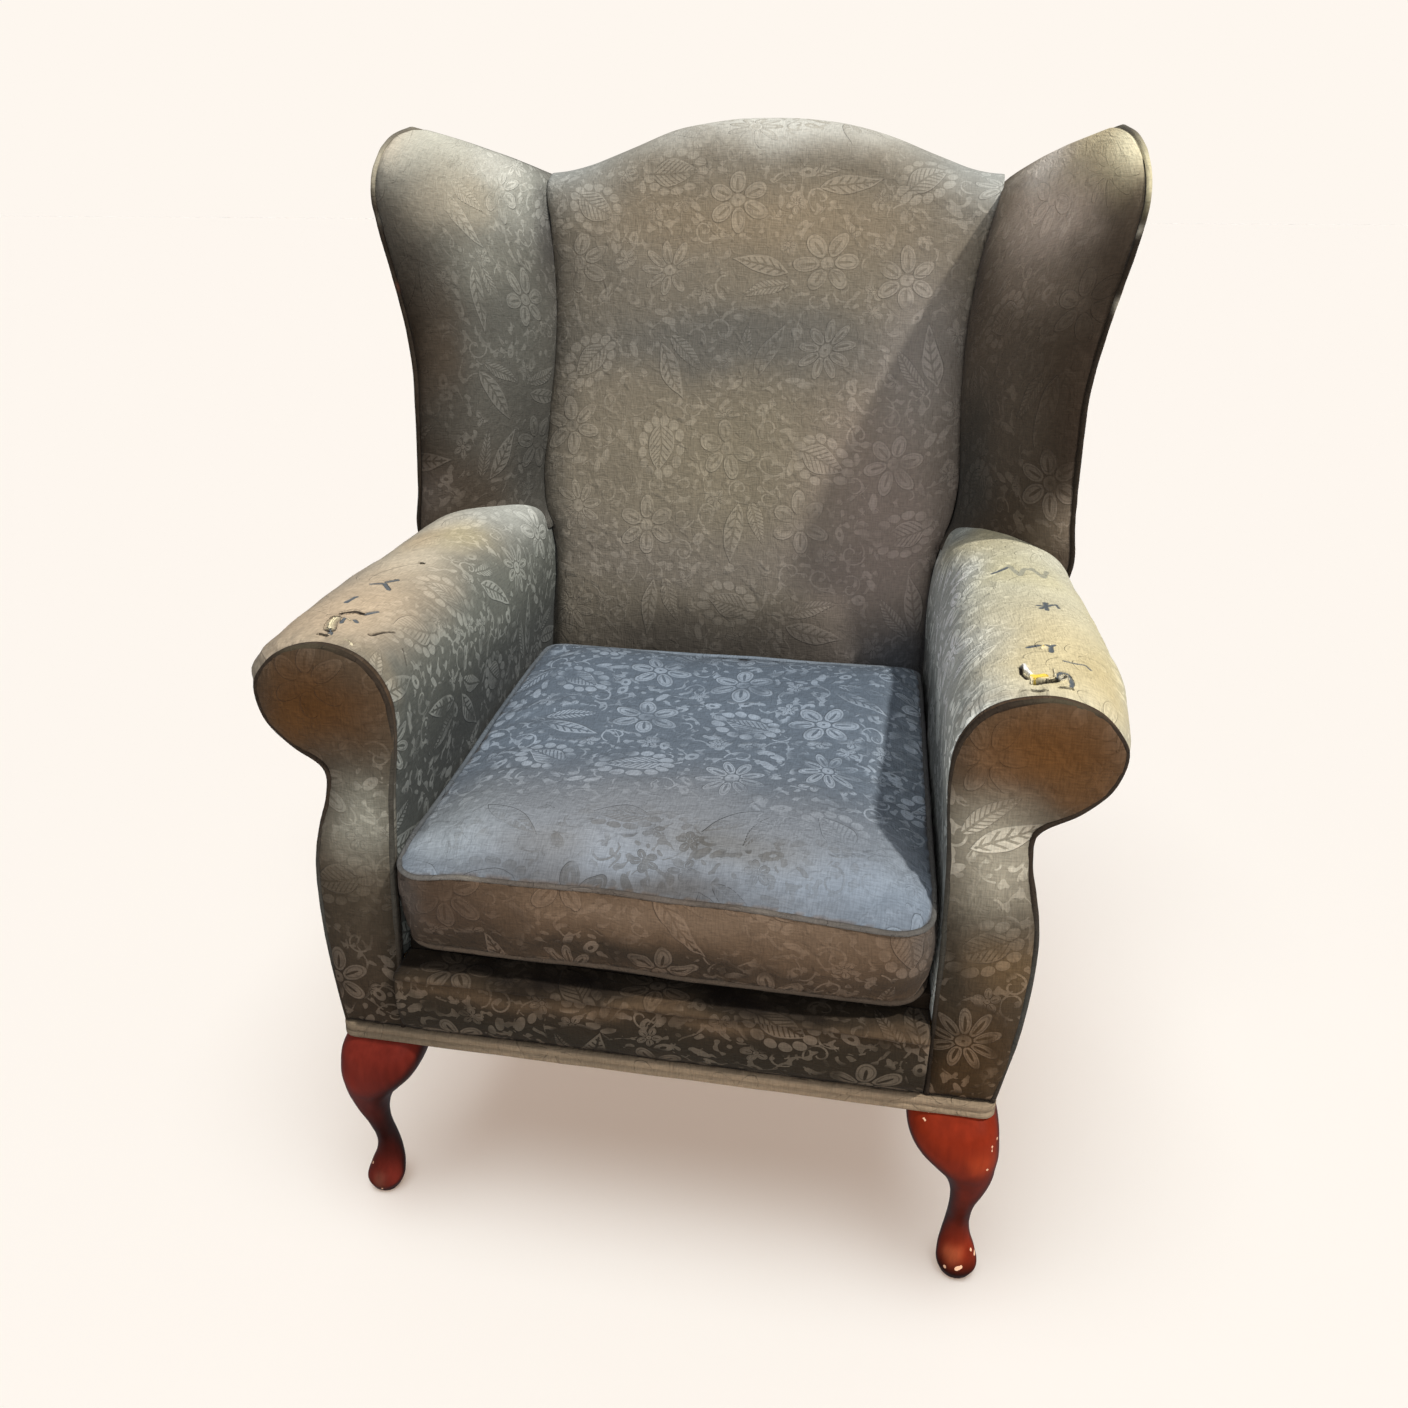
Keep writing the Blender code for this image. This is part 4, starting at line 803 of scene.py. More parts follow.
def arm_rings(side):
    """Rings round the arm in front view, from its facing to the rear. The left roll is puffed out more."""
    front, back = (evenly(rounded([(scroll[0][0], ARM_BOTTOM), (scroll[0][0], 0.355), *scroll]), 150)
                   for scroll in (SCROLL_FRONT, SCROLL_REAR))
    front = np.vstack([broadened(front, side), [(0.3020, 0.5036), (0.2690, 0.5036), (0.2690, ARM_BOTTOM)]])
    back = np.vstack([back, [(0.3000, 0.5036), (0.2505, 0.5036), (0.2505, ARM_BOTTOM)]])
    most, early = own(side, (0.016, 0.011)), own(side, (0.42, 0.55))
    middle = lerp(front[:, 1], back[:, 1], 0.5)
    start = FACING_BACK + GAP
    rings = []
    for s in np.linspace(0, 1, 150):
        y = lerp(start, rear(middle) - PANEL - 2 * GAP, s)
        blend = np.minimum((y - start) / (back_front(middle) - start), 1.0)
        x, z = lerp(front[:, 0], back[:, 0], blend), lerp(front[:, 1], back[:, 1], blend)
        out = np.maximum(x - ARM_INNER_X, 0)
        puff = most * np.sin(np.pi * blend**early) * out / ROLL_WIDTH
        rolled = ARM_INNER_X + out * lerp(1.0, ROLL_END, smoothstep(0.10, 0.30, y)) + puff
        x = np.where(x > ARM_INNER_X, rolled, x)
        z = z + 0.45 * puff * (z > 0.560)
        x = x + ARM_STEP * smoothstep(back_front(z) + 0.015, post_front(z) - 0.025, y) * (x < 0.2600)
        rings.append(np.stack([x, y, z], 1))
    return rings


def refine(obj, near, reach, cuts):
    """Cuts up the faces within reach of these points, so that small tears have points to move."""
    bm = bmesh.new()
    bm.from_mesh(obj.data)
    edges = set()
    for face in bm.faces:
        centre = np.array(face.calc_center_median())
        if np.min(np.sum((near - centre) ** 2, 1)) < reach**2:
            edges.update(face.edges)
    bmesh.ops.subdivide_edges(bm, edges=list(edges), cuts=cuts, use_grid_fill=True)
    bm.to_mesh(obj.data)
    bm.free()
    obj.data.shade_smooth()


def on_surface(obj, tears):
    """The tears' lines laid on the surface: straight down where only X and Y are given, else the near way."""
    mesh = obj.data
    tree = BVHTree.FromPolygons([v.co for v in mesh.vertices], [tuple(f.vertices) for f in mesh.polygons])
    above, down = 0.8, Vector((0, 0, -1))
    placed = []
    for kind, half, line in tears:
        found = [tree.ray_cast(Vector((*point, above)), down) if len(point) == 2 else
                 tree.find_nearest(Vector(point)) for point in np.array(line) / 1000]
        laid = np.array([tuple(place) for place, *_ in found])
        if len(laid) > 1:
            laid = evenly(laid, 2 + int(lengths(laid)[-1] / 0.0015))
        placed.append((kind, half / 1000, laid))
    return placed


# What each kind of wear does: colour, height in metres, how ragged its edge is.
WEAR = {
    # The near-black of gap and the dark of slit are painted shade inside the torn openings.
    "gap": ("#1b130d", -0.0042, 0.22),
    "slit": ("#37302a", -0.0022, 0.30),
    "fray": ("#5d6368", -0.0006, 0.45),
    "foam": ("#f6d558", 0.0016, 0.30),
    "wadding": ("#f8f5ee", 0.0020, 0.30),
    "cream": ("#eee2bf", 0.0009, 0.35),
    "lip": ("#cfc6ad", 0.0018, 0.20),
    "shade": ("#a19f8d", -0.0003, 0.45),
}


def wear_away(obj, tears):
    """Cuts tears into the cloth and fills them. Returns the marks to paint there."""
    placed = on_surface(obj, tears)
    refine(obj, np.vstack([line for _, _, line in placed]), 0.008, cuts=5)
    co, out = coords(obj), normals(obj)
    rough = 0.6 * noise(co, 0.0045, 21) + 0.4 * noise(co, 0.0021, 22)
    height, marks = np.zeros(len(co)), []
    for kind, half, line in placed:
        colour, rise, ragged = WEAR[kind]
        away = np.min(np.linalg.norm(co[:, None] - line[None], axis=2), axis=1) / half
        amount = smoothstep(1.15, 0.80, away + ragged * rough)
        height = height * (1 - amount) + amount * rise * (1 + 0.35 * rough)
        marks.append((colour, amount))
    move_to(obj, co + out * height[:, None])
    return marks


def rays(kind, half, x, y, *arms):
    """Tears that run out from one worn spot: each arm is a length in millimetres and a heading in degrees."""
    return [(kind, half, [(x, y), (x + r * math.cos(math.radians(a)), y + r * math.sin(math.radians(a)))])
            for r, a in arms]


def curl(x, y, across, along, start, end):
    """The rim of a curled flap, as part of an oval."""
    angles = np.radians(np.linspace(start, end, 9))
    return [(x + across * math.cos(a), y + along * math.sin(a)) for a in angles]


# Each tear: its kind, half its width and its line, in millimetres, seen from above unless Z is given.
TEARS = {
    "right": [
        ("slit", 1.2, [(289, -306), (288, -323), (292, -335)]),
        ("wadding", 3.0, [(292, -304), (293, -317), (296, -329)]),
        ("gap", 2.3, [(296, -344), (306, -342), (317, -333)]),
        ("gap", 2.7, [(299, -340), (306, -339)]),
        ("foam", 4.8, [(298, -333), (306, -329)]),
        ("foam", 1.8, [(298, -340), (299, -334)]),
        ("cream", 1.1, [(295, -334), (295, -348)]),
        ("cream", 1.6, [(315, -311), (315, -329)]),
        ("lip", 2.8, [(319, -336), (322, -324), (325, -333)]),
        ("fray", 1.1, curl(322.5, -333, 5.5, 17, 185, -50)),
        ("lip", 1.9, [(320, -336), (322, -325), (325, -334)]),
        ("slit", 0.8, [(319, -333), (322, -329)]),
        ("slit", 1.1, [(318, -350), (326, -350)]),
        ("cream", 1.5, [(325, -354)]),
        ("slit", 1.0, [(287, -357), (305, -359)]),
        ("fray", 1.0, [(326, -290), (335, -292), (343, -290), (347, -297)]),
        ("fray", 1.5, [(299, -258), (307, -258)]),
        ("cream", 2.1, [(308, -266), (312, -262)]),
        ("foam", 1.2, [(309, -265), (311, -264)]),
        *rays("fray", 1.5, 317, -262, (5, 135), (5, 50), (11, 268)),
        *rays("fray", 1.8, 322, -154, (7, 160), (12, 50), (14, 85), (9, 235), (12, 270)),
        ("fray", 1.3, [(332, -142), (334, -155)]),
        ("slit", 1.2, [(336, -159)]),
        ("fray", 1.8, [(279, -44), (287, -39), (295, -30), (299, -33)]),
        ("shade", 2.2, [(296, -25), (305, -56), (311, -32), (319, -34)]),
        ("shade", 2.2, [(319, -30), (329, -56), (334, -29)]),
        ("slit", 1.4, [(250, -335, 586), (252, -329, 596)]),
    ],
    "left": [
        ("slit", 4.2, [(-314, -311), (-312, -325), (-307, -339)]),
        ("cream", 3.7, [(-314, -312), (-312, -325), (-308, -336)]),
        ("fray", 1.4, [(-306, -340), (-302, -350)]),
        ("fray", 1.8, [(-321, -270), (-318, -253)]),
        ("slit", 1.3, [(-313, -299), (-304, -289), (-294, -290)]),
        ("fray", 1.2, [(-294, -290), (-286, -278)]),
        ("fray", 1.4, [(-307, -309), (-305, -319)]),
        ("cream", 1.2, [(-303, -309), (-298, -312)]),
        ("fray", 1.0, [(-296, -308), (-292, -312)]),
        ("gap", 1.2, [(-311, -354), (-304, -353)]),
        ("cream", 1.4, [(-287, -353), (-279, -359)]),
        ("cream", 2.2, [(-278, -360)]),
        ("gap", 1.7, [(-273, -329), (-271, -326)]),
        ("slit", 1.3, [(-271, -326), (-266, -312), (-261, -303)]),
        ("gap", 1.4, [(-249, -324, 585), (-251, -314, 598)]),
        ("slit", 1.5, [(-295, -132)]),
        ("slit", 1.3, [(-263, -22)]),
        ("fray", 1.0, [(-308, -200), (-300, -189)]),
        ("fray", 1.2, [(-320, -210), (-308, -205), (-297, -220)]),
    ],
}


def inside_arm(side, word):
    """The arm's padding, flattened along its top where forearms lay and painted pale there, partly as wear
    and partly as painted light, and torn at its front.
    """
    points = mirrored(arm_rings(side), side)
    pad = skin(f"arm_pad_{word}", points, wrap_uv(points, points[:, 60, 1]) + [6.0 + side, 0.1])
    marks = wear_away(pad, TEARS[word])
    co = coords(pad)
    roll_x, roll_z = 0.305, 0.56
    across, behind, above = np.abs(co[:, 0]) - roll_x, co[:, 1] - FACING_BACK, co[:, 2] - roll_z
    top = np.exp(-(across / 0.035) ** 2) * (above > 0) * smoothstep(0.1, -0.1, co[:, 1])
    pucker = np.exp(-behind / 0.022) * np.sin(np.degrees(np.arctan2(above, across)) * 0.42 + 2 * side)
    shape = -0.0030 * top + 0.0024 * noise(co, 0.085, 5 + side) + 0.0011 * noise(co, 0.032, 7)
    shape += 0.0011 * pucker - 0.0012 * np.exp(-behind / 0.006)
    swell(pad, shape * smoothstep(0.30, 0.20, co[:, 1]))
    # Painted light and shade: the pale top is partly wear and partly painted light from above; the darker low
    # inner face by the cushion is painted shade, and the blue-grey patch at the rear of the right arm is the
    # wing's painted shadow.
    paint(pad, ("#636661", "#c6cac4"), [
        (("#464848", "#595b5b"), 0.85, (0.235, -0.02, 0.465), (0.04, 0.40, 0.070)),
        (("#83867e", "#eef0ea"), 0.85, (0.240, -0.060, 0.578), (0.034, 0.24, 0.042)),
        (("#cbc1ad", "#cbc7ae"), 0.94, (0.316, -0.05, 0.640), (0.066, 0.19, 0.044)),
        (("#c4b096", "#d3c49b"), 0.94, (0.316, -0.28, 0.625), (0.064, 0.15, 0.042)),
        (("#a89b8b", "#bfb48d"), 0.85, (0.368, -0.17, 0.590), (0.032, 0.26, 0.045)),
        (("#b4b6b0", "#c2b791"), 0.88, (0.278, 0.105, 0.635), (0.060, 0.09, 0.044)),
        (("#b4b6b0", "#aab0ae"), 0.80, (0.258, 0.140, 0.630), (0.026, 0.05, 0.030)),
        (("#7a654a", "#a39885"), 0.50, (0.358, -0.350, 0.575), (0.034, 0.04, 0.035)),
        (("#b4a988", "#cfc7a2"), 0.75, (0.285, -0.030, 0.640), (0.030, 0.05, 0.03)),
        (("#b39d7c", "#cbc29d"), 0.60, (0.325, -0.055, 0.640), (0.028, 0.05, 0.03)),
        ("#9c8e76", 0.35, (0.270, -0.362, 0.600), (0.060, 0.012, 0.03)),
        (("#b39f86", "#c2b083"), 0.70, (0.352, -0.310, 0.605), (0.028, 0.07, 0.03)),
    ], contrast=0.85, contrast_strokes=[
        (1.15, (0.9, 0.0), (0.242, -0.25, 0.49), (0.03, 0.14, 0.09)),
        (0.03, 1.0, (0.335, -0.13, 0.63), (0.086, 0.30, 0.064)),
        (0.03, 1.0, (0.320, -0.33, 0.62), (0.078, 0.12, 0.052)),
        (0.12, 0.9, (0.28, 0.10, 0.64), (0.06, 0.09, 0.04)),
    ], marks=marks, side=side)
    return kept(pad, f"inside_arm_{word}", fill=0.7)


def facing_outline(side):
    """Front view of the facing, up its inner edge, round the scroll and down its outer side to the base."""
    x = SCROLL_FRONT[0][0]
    inner = [(x, BASE_TOP + GAP), (x, 0.3200)]
    return np.vstack([evenly(inner, 12)[:-1], broadened(rounded(SCROLL_FRONT + FACING_SIDE, 10), side)])


def arm_facing(side, word):
    """The mushroom-shaped front of the arm, padded, browned by hands on its scroll."""
    outline = facing_outline(side)
    pad = flat_plate(f"arm_front_{word}", outline, depth=0.0050, bulge=0.0085, edge=0.010, side=side)
    co = coords(pad)
    front = co[:, 1] < FACING_BACK - 0.002
    hollow = np.exp(-(((np.abs(co[:, 0]) - 0.300) / 0.03) ** 2 + ((co[:, 2] - 0.508) / 0.016) ** 2))
    co[:, 1] += front * (0.0012 * noise(co, 0.035, 6 + side) + 0.0006 * noise(co, 0.014, 3) + 0.0030 * hollow)
    move_to(pad, co)
    paint(pad, "#50463a", [
        (("#8a887c", "#b3ab98"), 0.90, (0.270, -0.39, (0.455, 0.480)), (0.045, 0.1, (0.045, 0.055))),
        (("#4a3017", "#5d3d1f"), 0.97, (0.308, -0.39, 0.574), (0.070, 0.1, 0.046)),
        (("#593c20", "#62452a"), 0.60, (0.332, -0.39, 0.548), (0.026, 0.1, 0.022)),
        (("#3d352a", "#735c40"), 0.70, (0.298, -0.39, 0.374), (0.036, 0.1, 0.030)),
        (("#483b2e", "#594229"), 0.90, (0.280, -0.39, 0.275), (0.060, 0.1, 0.070)),
        ("#2e2a22", 0.45, (0.249, -0.39, 0.340), (0.010, 0.1, 0.10)),
    ], contrast=1.20, contrast_strokes=[
        (0.0, 1.0, (0.305, -0.39, 0.57), (0.100, 0.1, 0.072)),
        ((0.12, 0.34), 0.95, (0.278, -0.39, 0.42), (0.06, 0.1, 0.085)),
    ], grime=0.9, side=side)
    return kept(pad, f"arm_facing_{word}", fill=0.5)


def arm_piping(side, word):
    """A cord sewn round the facing."""
    outline = facing_outline(side)
    path = np.stack([outline[:, 0], np.full(len(outline), FACING_FRONT + 0.0055), outline[:, 1]], 1)
    path = evenly(path, 240)
    along = unit(np.gradient(path[:, [0, 2]], axis=0))
    inward = 0.0024
    path[:, 0] += along[:, 1] * inward
    path[:, 2] -= along[:, 0] * inward
    path[:, 1] += 0.0008 * noise(path, 0.05, 2)
    cord = tube(f"arm_cord_{word}", mirrored(path, side), PIPING_R)
    paint(cord, "#332a22", [
        ("#57503f", 0.55, (0.315, -0.38, 0.620), (0.035, 0.05, 0.012)),
        ("#4f4f49", 0.60, (0.245, -0.38, 0.430), (0.02, 0.05, 0.10)),
        ("#4a4d4a", 0.50, (0.320, -0.38, 0.350), (0.02, 0.05, 0.08)),
    ], contrast=0.1, grime=1.2, side=side)
    return kept(cord, f"arm_piping_{word}", slot="piping")


def outside_arm(side, word):
    """Flat cloth under the roll, following the curve of the facing at its front."""
    edge = broadened(evenly(rounded([(0.3045, 0.5028), *FACING_SIDE]), 60), side)
    rings = []
    for s in np.linspace(0, 1, 110):
        y = lerp(FACING_BACK + GAP, rear(edge[:, 1]) - PANEL - GAP, s)
        x = lerp(edge[:, 0], base_outer(y), smoothstep(0.0, 0.75, s))
        outer = np.stack([x, y, edge[:, 1]], 1)
        rings.append(np.vstack([outer, outer[::-1] - [PANEL, 0, 0]]))
    points = mirrored(rings, side)
    panel = skin(f"arm_outside_{word}", points, wrap_uv(points, points[:, 30, 1]) + [8.0 + side, 0.3])
    paint(panel, "#586064", [
        ("#4a463f", 0.6, (0.31, -0.2, 0.26), (0.05, 0.4, 0.03)),
        ("#6c6a60", 0.5, (0.32, -0.36, 0.40), (0.03, 0.04, 0.12)),
    ], side=side)
    return kept(panel, f"outside_arm_{word}")


def outside_back():
    """Plain cloth over card, tacked under the crest and turned in at its sides."""
    z = np.linspace(0, 1, 120)
    rings = []
    for x in OUT_REAR * np.linspace(-1, 1, 90):
        high = crest(x) - CREST_PAD + 0.004
        height = lerp(BASE_TOP + GAP, high, z)
        slack = 0.0016 * np.sin(np.pi * z) * math.cos(math.pi * x / (2 * OUT_REAR))
        outer = np.stack([np.full(len(z), x), rear(height) - slack, height], 1)
        rings.append(np.vstack([outer, outer[::-1] - [0, PANEL, 0]]))
    points = np.array(rings)
    panel = skin("back_outside", points, wrap_uv(points, points[:, 30, 0]) + [10.0, 0.2])
    paint(panel, "#5c6469", [
        ("#77776f", 0.6, (0, 0.40, 1.0), (0.4, 0.1, 0.06)),
        ("#4b4842", 0.6, (0, 0.22, 0.25), (0.4, 0.1, 0.05)),
        ("#6b6a61", 0.4, (-0.12, 0.33, 0.7), (0.1, 0.1, 0.2)),
    ])
    return kept(panel, "outside_back")


def front_border():
    """The padded border in front of the seat: its face up to a sewn edge, and a top behind that, painted dark
    as shade under the cushion.
    """
    face = rounded([(-0.3800, BASE_TOP + GAP), (-0.3915, 0.2500), (-0.3990, 0.2700), (-0.4022, 0.2880),
                    (-0.4022, 0.3010)])
    lip = rounded([(-0.4000, 0.3030), (-0.4035, 0.3048), (-0.4045, 0.3075), (-0.4025, 0.3102),
                   (-0.3980, 0.3108), (-0.3880, 0.3110), (-0.3600, 0.3128)])
    hidden = [(-0.3597, 0.3010), (-0.3700, 0.3003), (-0.3700, BASE_TOP + GAP)]
    section = np.vstack([evenly(face, 34), evenly(lip, 40), hidden])
    points = np.array([[(x, y, z) for y, z in section] for x in np.linspace(-0.2440, 0.2440, 110)])
    points[:, 34:74, 2] += 0.0012 * noise(points[:, 34:74] * [1, 0, 0], 0.07, 5)
    pad = skin("seat_border", points, wrap_uv(points, points[:, 0, 0]) + [12.0, 0.4])
    dents(pad, (0.06, 0.0012, 2), (0.022, 0.0005, 5))
    # Painted shade: the near-black strip along the top lies under the cushion's overhang; the dark face is
    # partly dirt and partly painted shade from the overhang.
    paint(pad, "#483d30", [
        ("#5c4a38", 0.85, (0, -0.405, 0.300), (0.5, 0.02, 0.011)),
        ("#3b372e", 0.5, (-0.05, -0.39, 0.260), (0.3, 0.03, 0.014)),
        ("#524636", 0.5, (0.20, -0.39, 0.262), (0.08, 0.03, 0.02)),
        ("#17110d", 0.98, (0, -0.376, 0.3165), (0.5, 0.031, 0.0092)),
    ], contrast=1.35, contrast_strokes=[
        (0.35, 0.90, (0, -0.405, 0.303), (0.5, 0.02, 0.009)),
        (0.25, 0.95, (0, -0.374, 0.316), (0.5, 0.030, 0.009)),
    ], grime=0.9)
    return kept(pad, "front_border", fill=0.6)


def seat_deck():
    """The deck under the cushion, dark in its shade."""
    front, back = RAIL_FRONT + 0.0108, back_front(0.32) - BACK_CROWN - 2 * GAP
    rows = []
    for y in np.linspace(front, back, 50):
        x = lerp(0.2430, 0.2245, (y - front) / (back - front)) * np.linspace(-1, 1, 60)
        rows.append([(a, y, DECK_TOP - 0.0015) for a in x] + [(a, y, 0.3045) for a in x[::-1]])
    points = np.array(rows)
    deck = skin("deck_cloth", points, wrap_uv(points, points[:, 0, 1]) + [14.0, 0.4])
    paint(deck, "#2c231b")
    return kept(deck, "seat_deck", fill=0.6)


# --- the loose cushion --------------------------------------------------------------------------------
TOP_SEAM, LOW_SEAM = (0.4250, -0.4070, 0.045), (0.3400, -0.3860, 0.002)    # height, front, rise to the back


def cushion_sides(z, front, lift):
    """Front, right, back and left sides of a seam, anticlockwise, each corner split in its middle.

    Its front corners droop, the right one most.
    """
    back = back_front(z + lift) - BACK_CROWN - 0.0058
    corners = [(-0.2405, front, 0.034, 180), (0.2375, front, 0.036, 270),
               (0.2215, back, 0.020, 0), (-0.2215, back, 0.020, 90)]
    arcs = []
    for x, y, r, start in corners:
        a = np.radians(start + np.linspace(0, 90, 17))
        cx, cy = x - math.copysign(r, x), y + (r if y == front else -r)
        arcs.append(np.stack([cx + r * np.cos(a), cy + r * np.sin(a)], 1))
    sides = []
    for k, (a, b) in enumerate(zip(arcs, arcs[1:] + arcs[:1])):
        line = evenly(np.vstack([a[8:], b[:9]]), 67 if k % 2 else 65)
        x, y = line.T
        rise = lift * smoothstep(front, back, y)
        wave = 0.0022 * noise(np.stack([x, y, 0 * y], 1), 0.075, 2)
        if z == TOP_SEAM[0]:
            droop = lerp(0.002, 0.012, smoothstep(0.05, 0.22, x)) + 0.006 * smoothstep(-0.17, -0.225, x)
        else:
            droop = lerp(0.006, 0.0095, smoothstep(-0.1, 0.2, x))
        sides.append(np.stack([x, y, z + rise + wave - smoothstep(-0.335, -0.385, y) * droop], 1))
    return sides


def coons(sides):
    """A grid that fills four sides, given anticlockwise."""
    south, east, north, west = sides[0], sides[1], sides[2][::-1], sides[3][::-1]
    s = np.linspace(0, 1, len(south))[None, :, None]
    t = np.linspace(0, 1, len(east))[:, None, None]
    patch = (1 - t) * south[None] + t * north[None] + (1 - s) * west[:, None] + s * east[:, None]
    return patch - ((1 - s) * (1 - t) * south[0] + s * (1 - t) * south[-1]
                    + (1 - s) * t * north[0] + s * t * north[-1])


def edge_distance(points):
    """How far each point of a grid lies from the grid's edge, roughly."""
    along = lengths(points)
    across = np.swapaxes(lengths(np.swapaxes(points, 0, 1)), 0, 1)
    return np.minimum(np.minimum(along, along[-1:] - along), np.minimum(across, across[:, -1:] - across))


def seat_cushion():
    """A boxed cushion: blown up as cloth between its two sewn seams, then sagged and creased."""
    top_sides, low_sides = cushion_sides(*TOP_SEAM), cushion_sides(*LOW_SEAM)
    top = coons(top_sides)
    away = edge_distance(top)
    top[..., 2] += 0.013 * (1 - np.exp(-away / 0.030))
    panel = skin("cushion_top", top, top[..., :2] + [16.0, 1.0], wrap=False, caps=False)
    loop_top, loop_low = (np.vstack([side[:-1] for side in sides]) for sides in (top_sides, low_sides))
    around = lengths(np.vstack([loop_top, loop_top[:1]]))
    rows = []
    for t in [*np.linspace(0, 0.92, 12), 0.975, 1.0]:
        ring = lerp(loop_low, loop_top, t)
        out = unit(ring[:, :2] - ring[:, :2].mean(0))
        ring[:, :2] += out * 0.004 * math.sin(math.pi * t)
        rows.append(ring)
    boxing = np.array(rows)
    rise = lengths(boxing[:, 10])
    cloth = np.stack(np.broadcast_arrays(around, rise[:, None]), -1)
    sides = skin("cushion_boxing", boxing, cloth + [18.0, 0.6], caps=False)
    low = coons(low_sides)
    low[..., 2] -= 0.0095 * (1 - np.exp(-edge_distance(low) / 0.012))
    base = skin("cushion_low", low, low[..., :2] + [20.0, 1.0], wrap=False, caps=False)
    # Painted light: the paler strip at the right lies in the arm's cast shadow and lightens it.
    paint(panel, "#74808e", [
        ("#6a7786", 0.75, (0.04, 0.030, 0.470), (0.28, 0.14, 0.05)),
        ("#a0acb8", 0.85, (0.212, -0.100, 0.460), (0.030, 0.26, 0.05)),
        ("#7c7f84", 0.92, (-0.02, -0.310, 0.440), (0.28, 0.085, 0.05)),
        ("#8a9094", 0.60, (-0.20, -0.330, 0.440), (0.06, 0.08, 0.05)),
        ("#62615f", 0.75, (0.060, -0.345, 0.440), (0.060, 0.030, 0.05)),
        ("#666564", 0.65, (-0.110, -0.365, 0.440), (0.045, 0.028, 0.05)),
        ("#504d4b", 0.90, (0.00, -0.404, 0.432), (0.27, 0.025, 0.03)),
    ], contrast=0.80, contrast_strokes=[(-0.45, 0.98, (0.0, -0.365, 0.44), (0.32, 0.095, 0.05))])
    paint(sides, "#554435", [
        ("#685748", 0.75, (0.06, -0.412, 0.402), (0.20, 0.030, 0.022)),
        ("#382c23", 0.80, (-0.20, -0.400, 0.380), (0.07, 0.05, 0.05)),
        ("#40352a", 0.85, (0.00, -0.405, 0.345), (0.50, 0.03, 0.018)),
        ("#565a5c", 0.80, (0.232, -0.150, 0.400), (0.020, 0.25, 0.050)),
        ("#4b4d4e", 0.80, (-0.232, -0.150, 0.400), (0.020, 0.25, 0.050)),
    ], contrast=0.28, contrast_strokes=[(1.20, 0.95, (0.0, -0.405, 0.345), (0.50, 0.04, 0.028))])
    paint(base, "#463e36")
    cushion = join("seat_cushion_soft", [panel, sides, base])
    co = coords(cushion)
    on_seam = [np.linalg.norm(co - point, axis=1) < 1e-4 for point in np.vstack([loop_top, loop_low])]
    lying = co[:, 2] < 0.337
    blow_up(cushion, np.any(on_seam, axis=0) | lying)
    co = coords(cushion)
    shown = co[:, 2] > 0.42
    sat = np.exp(-((co[:, 0] + 0.01) / 0.15) ** 2 - ((co[:, 1] + 0.10) / 0.15) ** 2)
    creases = noise(co * [1, 0.35, 1], 0.030, 3) * np.exp(-np.abs(co[:, 1] + 0.39) / 0.05)
    swell(cushion, np.where(shown, -0.009 * sat + 0.0016 * noise(co, 0.09, 2), 0.0012 * noise(co, 0.05, 6))
          + 0.0009 * creases)
    cords = []
    for word, loop, ground in (("top", loop_top, "#5a5855"), ("bottom", loop_low, "#3d342c")):
        cord = tube(f"cushion_cord_{word}", loop + [0, 0, GAP], 0.88 * PIPING_R, closed=True)
        weld(cord)
        paint(cord, ground, [
            ("#474b50", 0.7, (0, -0.05, 0.46), (0.3, 0.2, 0.06)),
            ("#7f8b98", 0.8, (0, 0.120, 0.47), (0.3, 0.05, 0.06)),
            ("#646e78", 0.7, (-0.235, -0.100, 0.45), (0.03, 0.25, 0.06)),
            ("#b9b5a8", 0.75, (0.10, -0.41, 0.425), (0.020, 0.02, 0.01)),
            ("#a8a497", 0.70, (-0.17, -0.40, 0.425), (0.015, 0.02, 0.01)),
            ("#4c423a", 0.80, (0, -0.41, 0.42), (0.24, 0.015, 0.02)),
        ], contrast=0.1, grime=1.6)
        cords.append(kept(cord, f"cushion_piping_{word}", slot="piping"))
    return kept(cushion, "seat_cushion", fill=0.6), *cords


def blow_up(obj, held):
    """Fills a closed skin with air, as cloth held at its seams, and keeps the shape that it takes."""
    group = obj.vertex_groups.new(name="held")
    group.add(np.nonzero(held)[0].tolist(), 1.0, "REPLACE")
    before = coords(obj)
    cloth = obj.modifiers.new("air", "CLOTH")
    cloth.settings.vertex_group_mass = "held"
    cloth.settings.quality = 6
    cloth.settings.mass = 0.3
    cloth.settings.tension_stiffness = cloth.settings.compression_stiffness = 30
    cloth.settings.bending_stiffness = 0.6
    cloth.settings.shrink_min = -0.022
    cloth.settings.use_pressure = True
    cloth.settings.uniform_pressure_force = 3.0
    cloth.settings.effector_weights.gravity = 0.0
    cloth.collision_settings.use_collision = False
    cloth.collision_settings.use_self_collision = False
    scene = bpy.context.scene
    for frame_number in range(1, 21):
        scene.frame_set(frame_number)
    seen = obj.evaluated_get(bpy.context.evaluated_depsgraph_get())
    after = np.empty(len(obj.data.vertices) * 3, np.float32)
    seen.data.vertices.foreach_get("co", after)
    move = after.reshape(-1, 3) - before
    farthest, highest = 0.020, 0.012
    size = np.linalg.norm(move, axis=1)[:, None]
    move *= np.minimum(1, farthest / np.maximum(size, 1e-9))
    move[:, 2] /= np.sqrt(1 + (move[:, 2] / highest) ** 2)
    obj.modifiers.remove(cloth)
    scene.frame_set(1)
    move_to(obj, before + move)


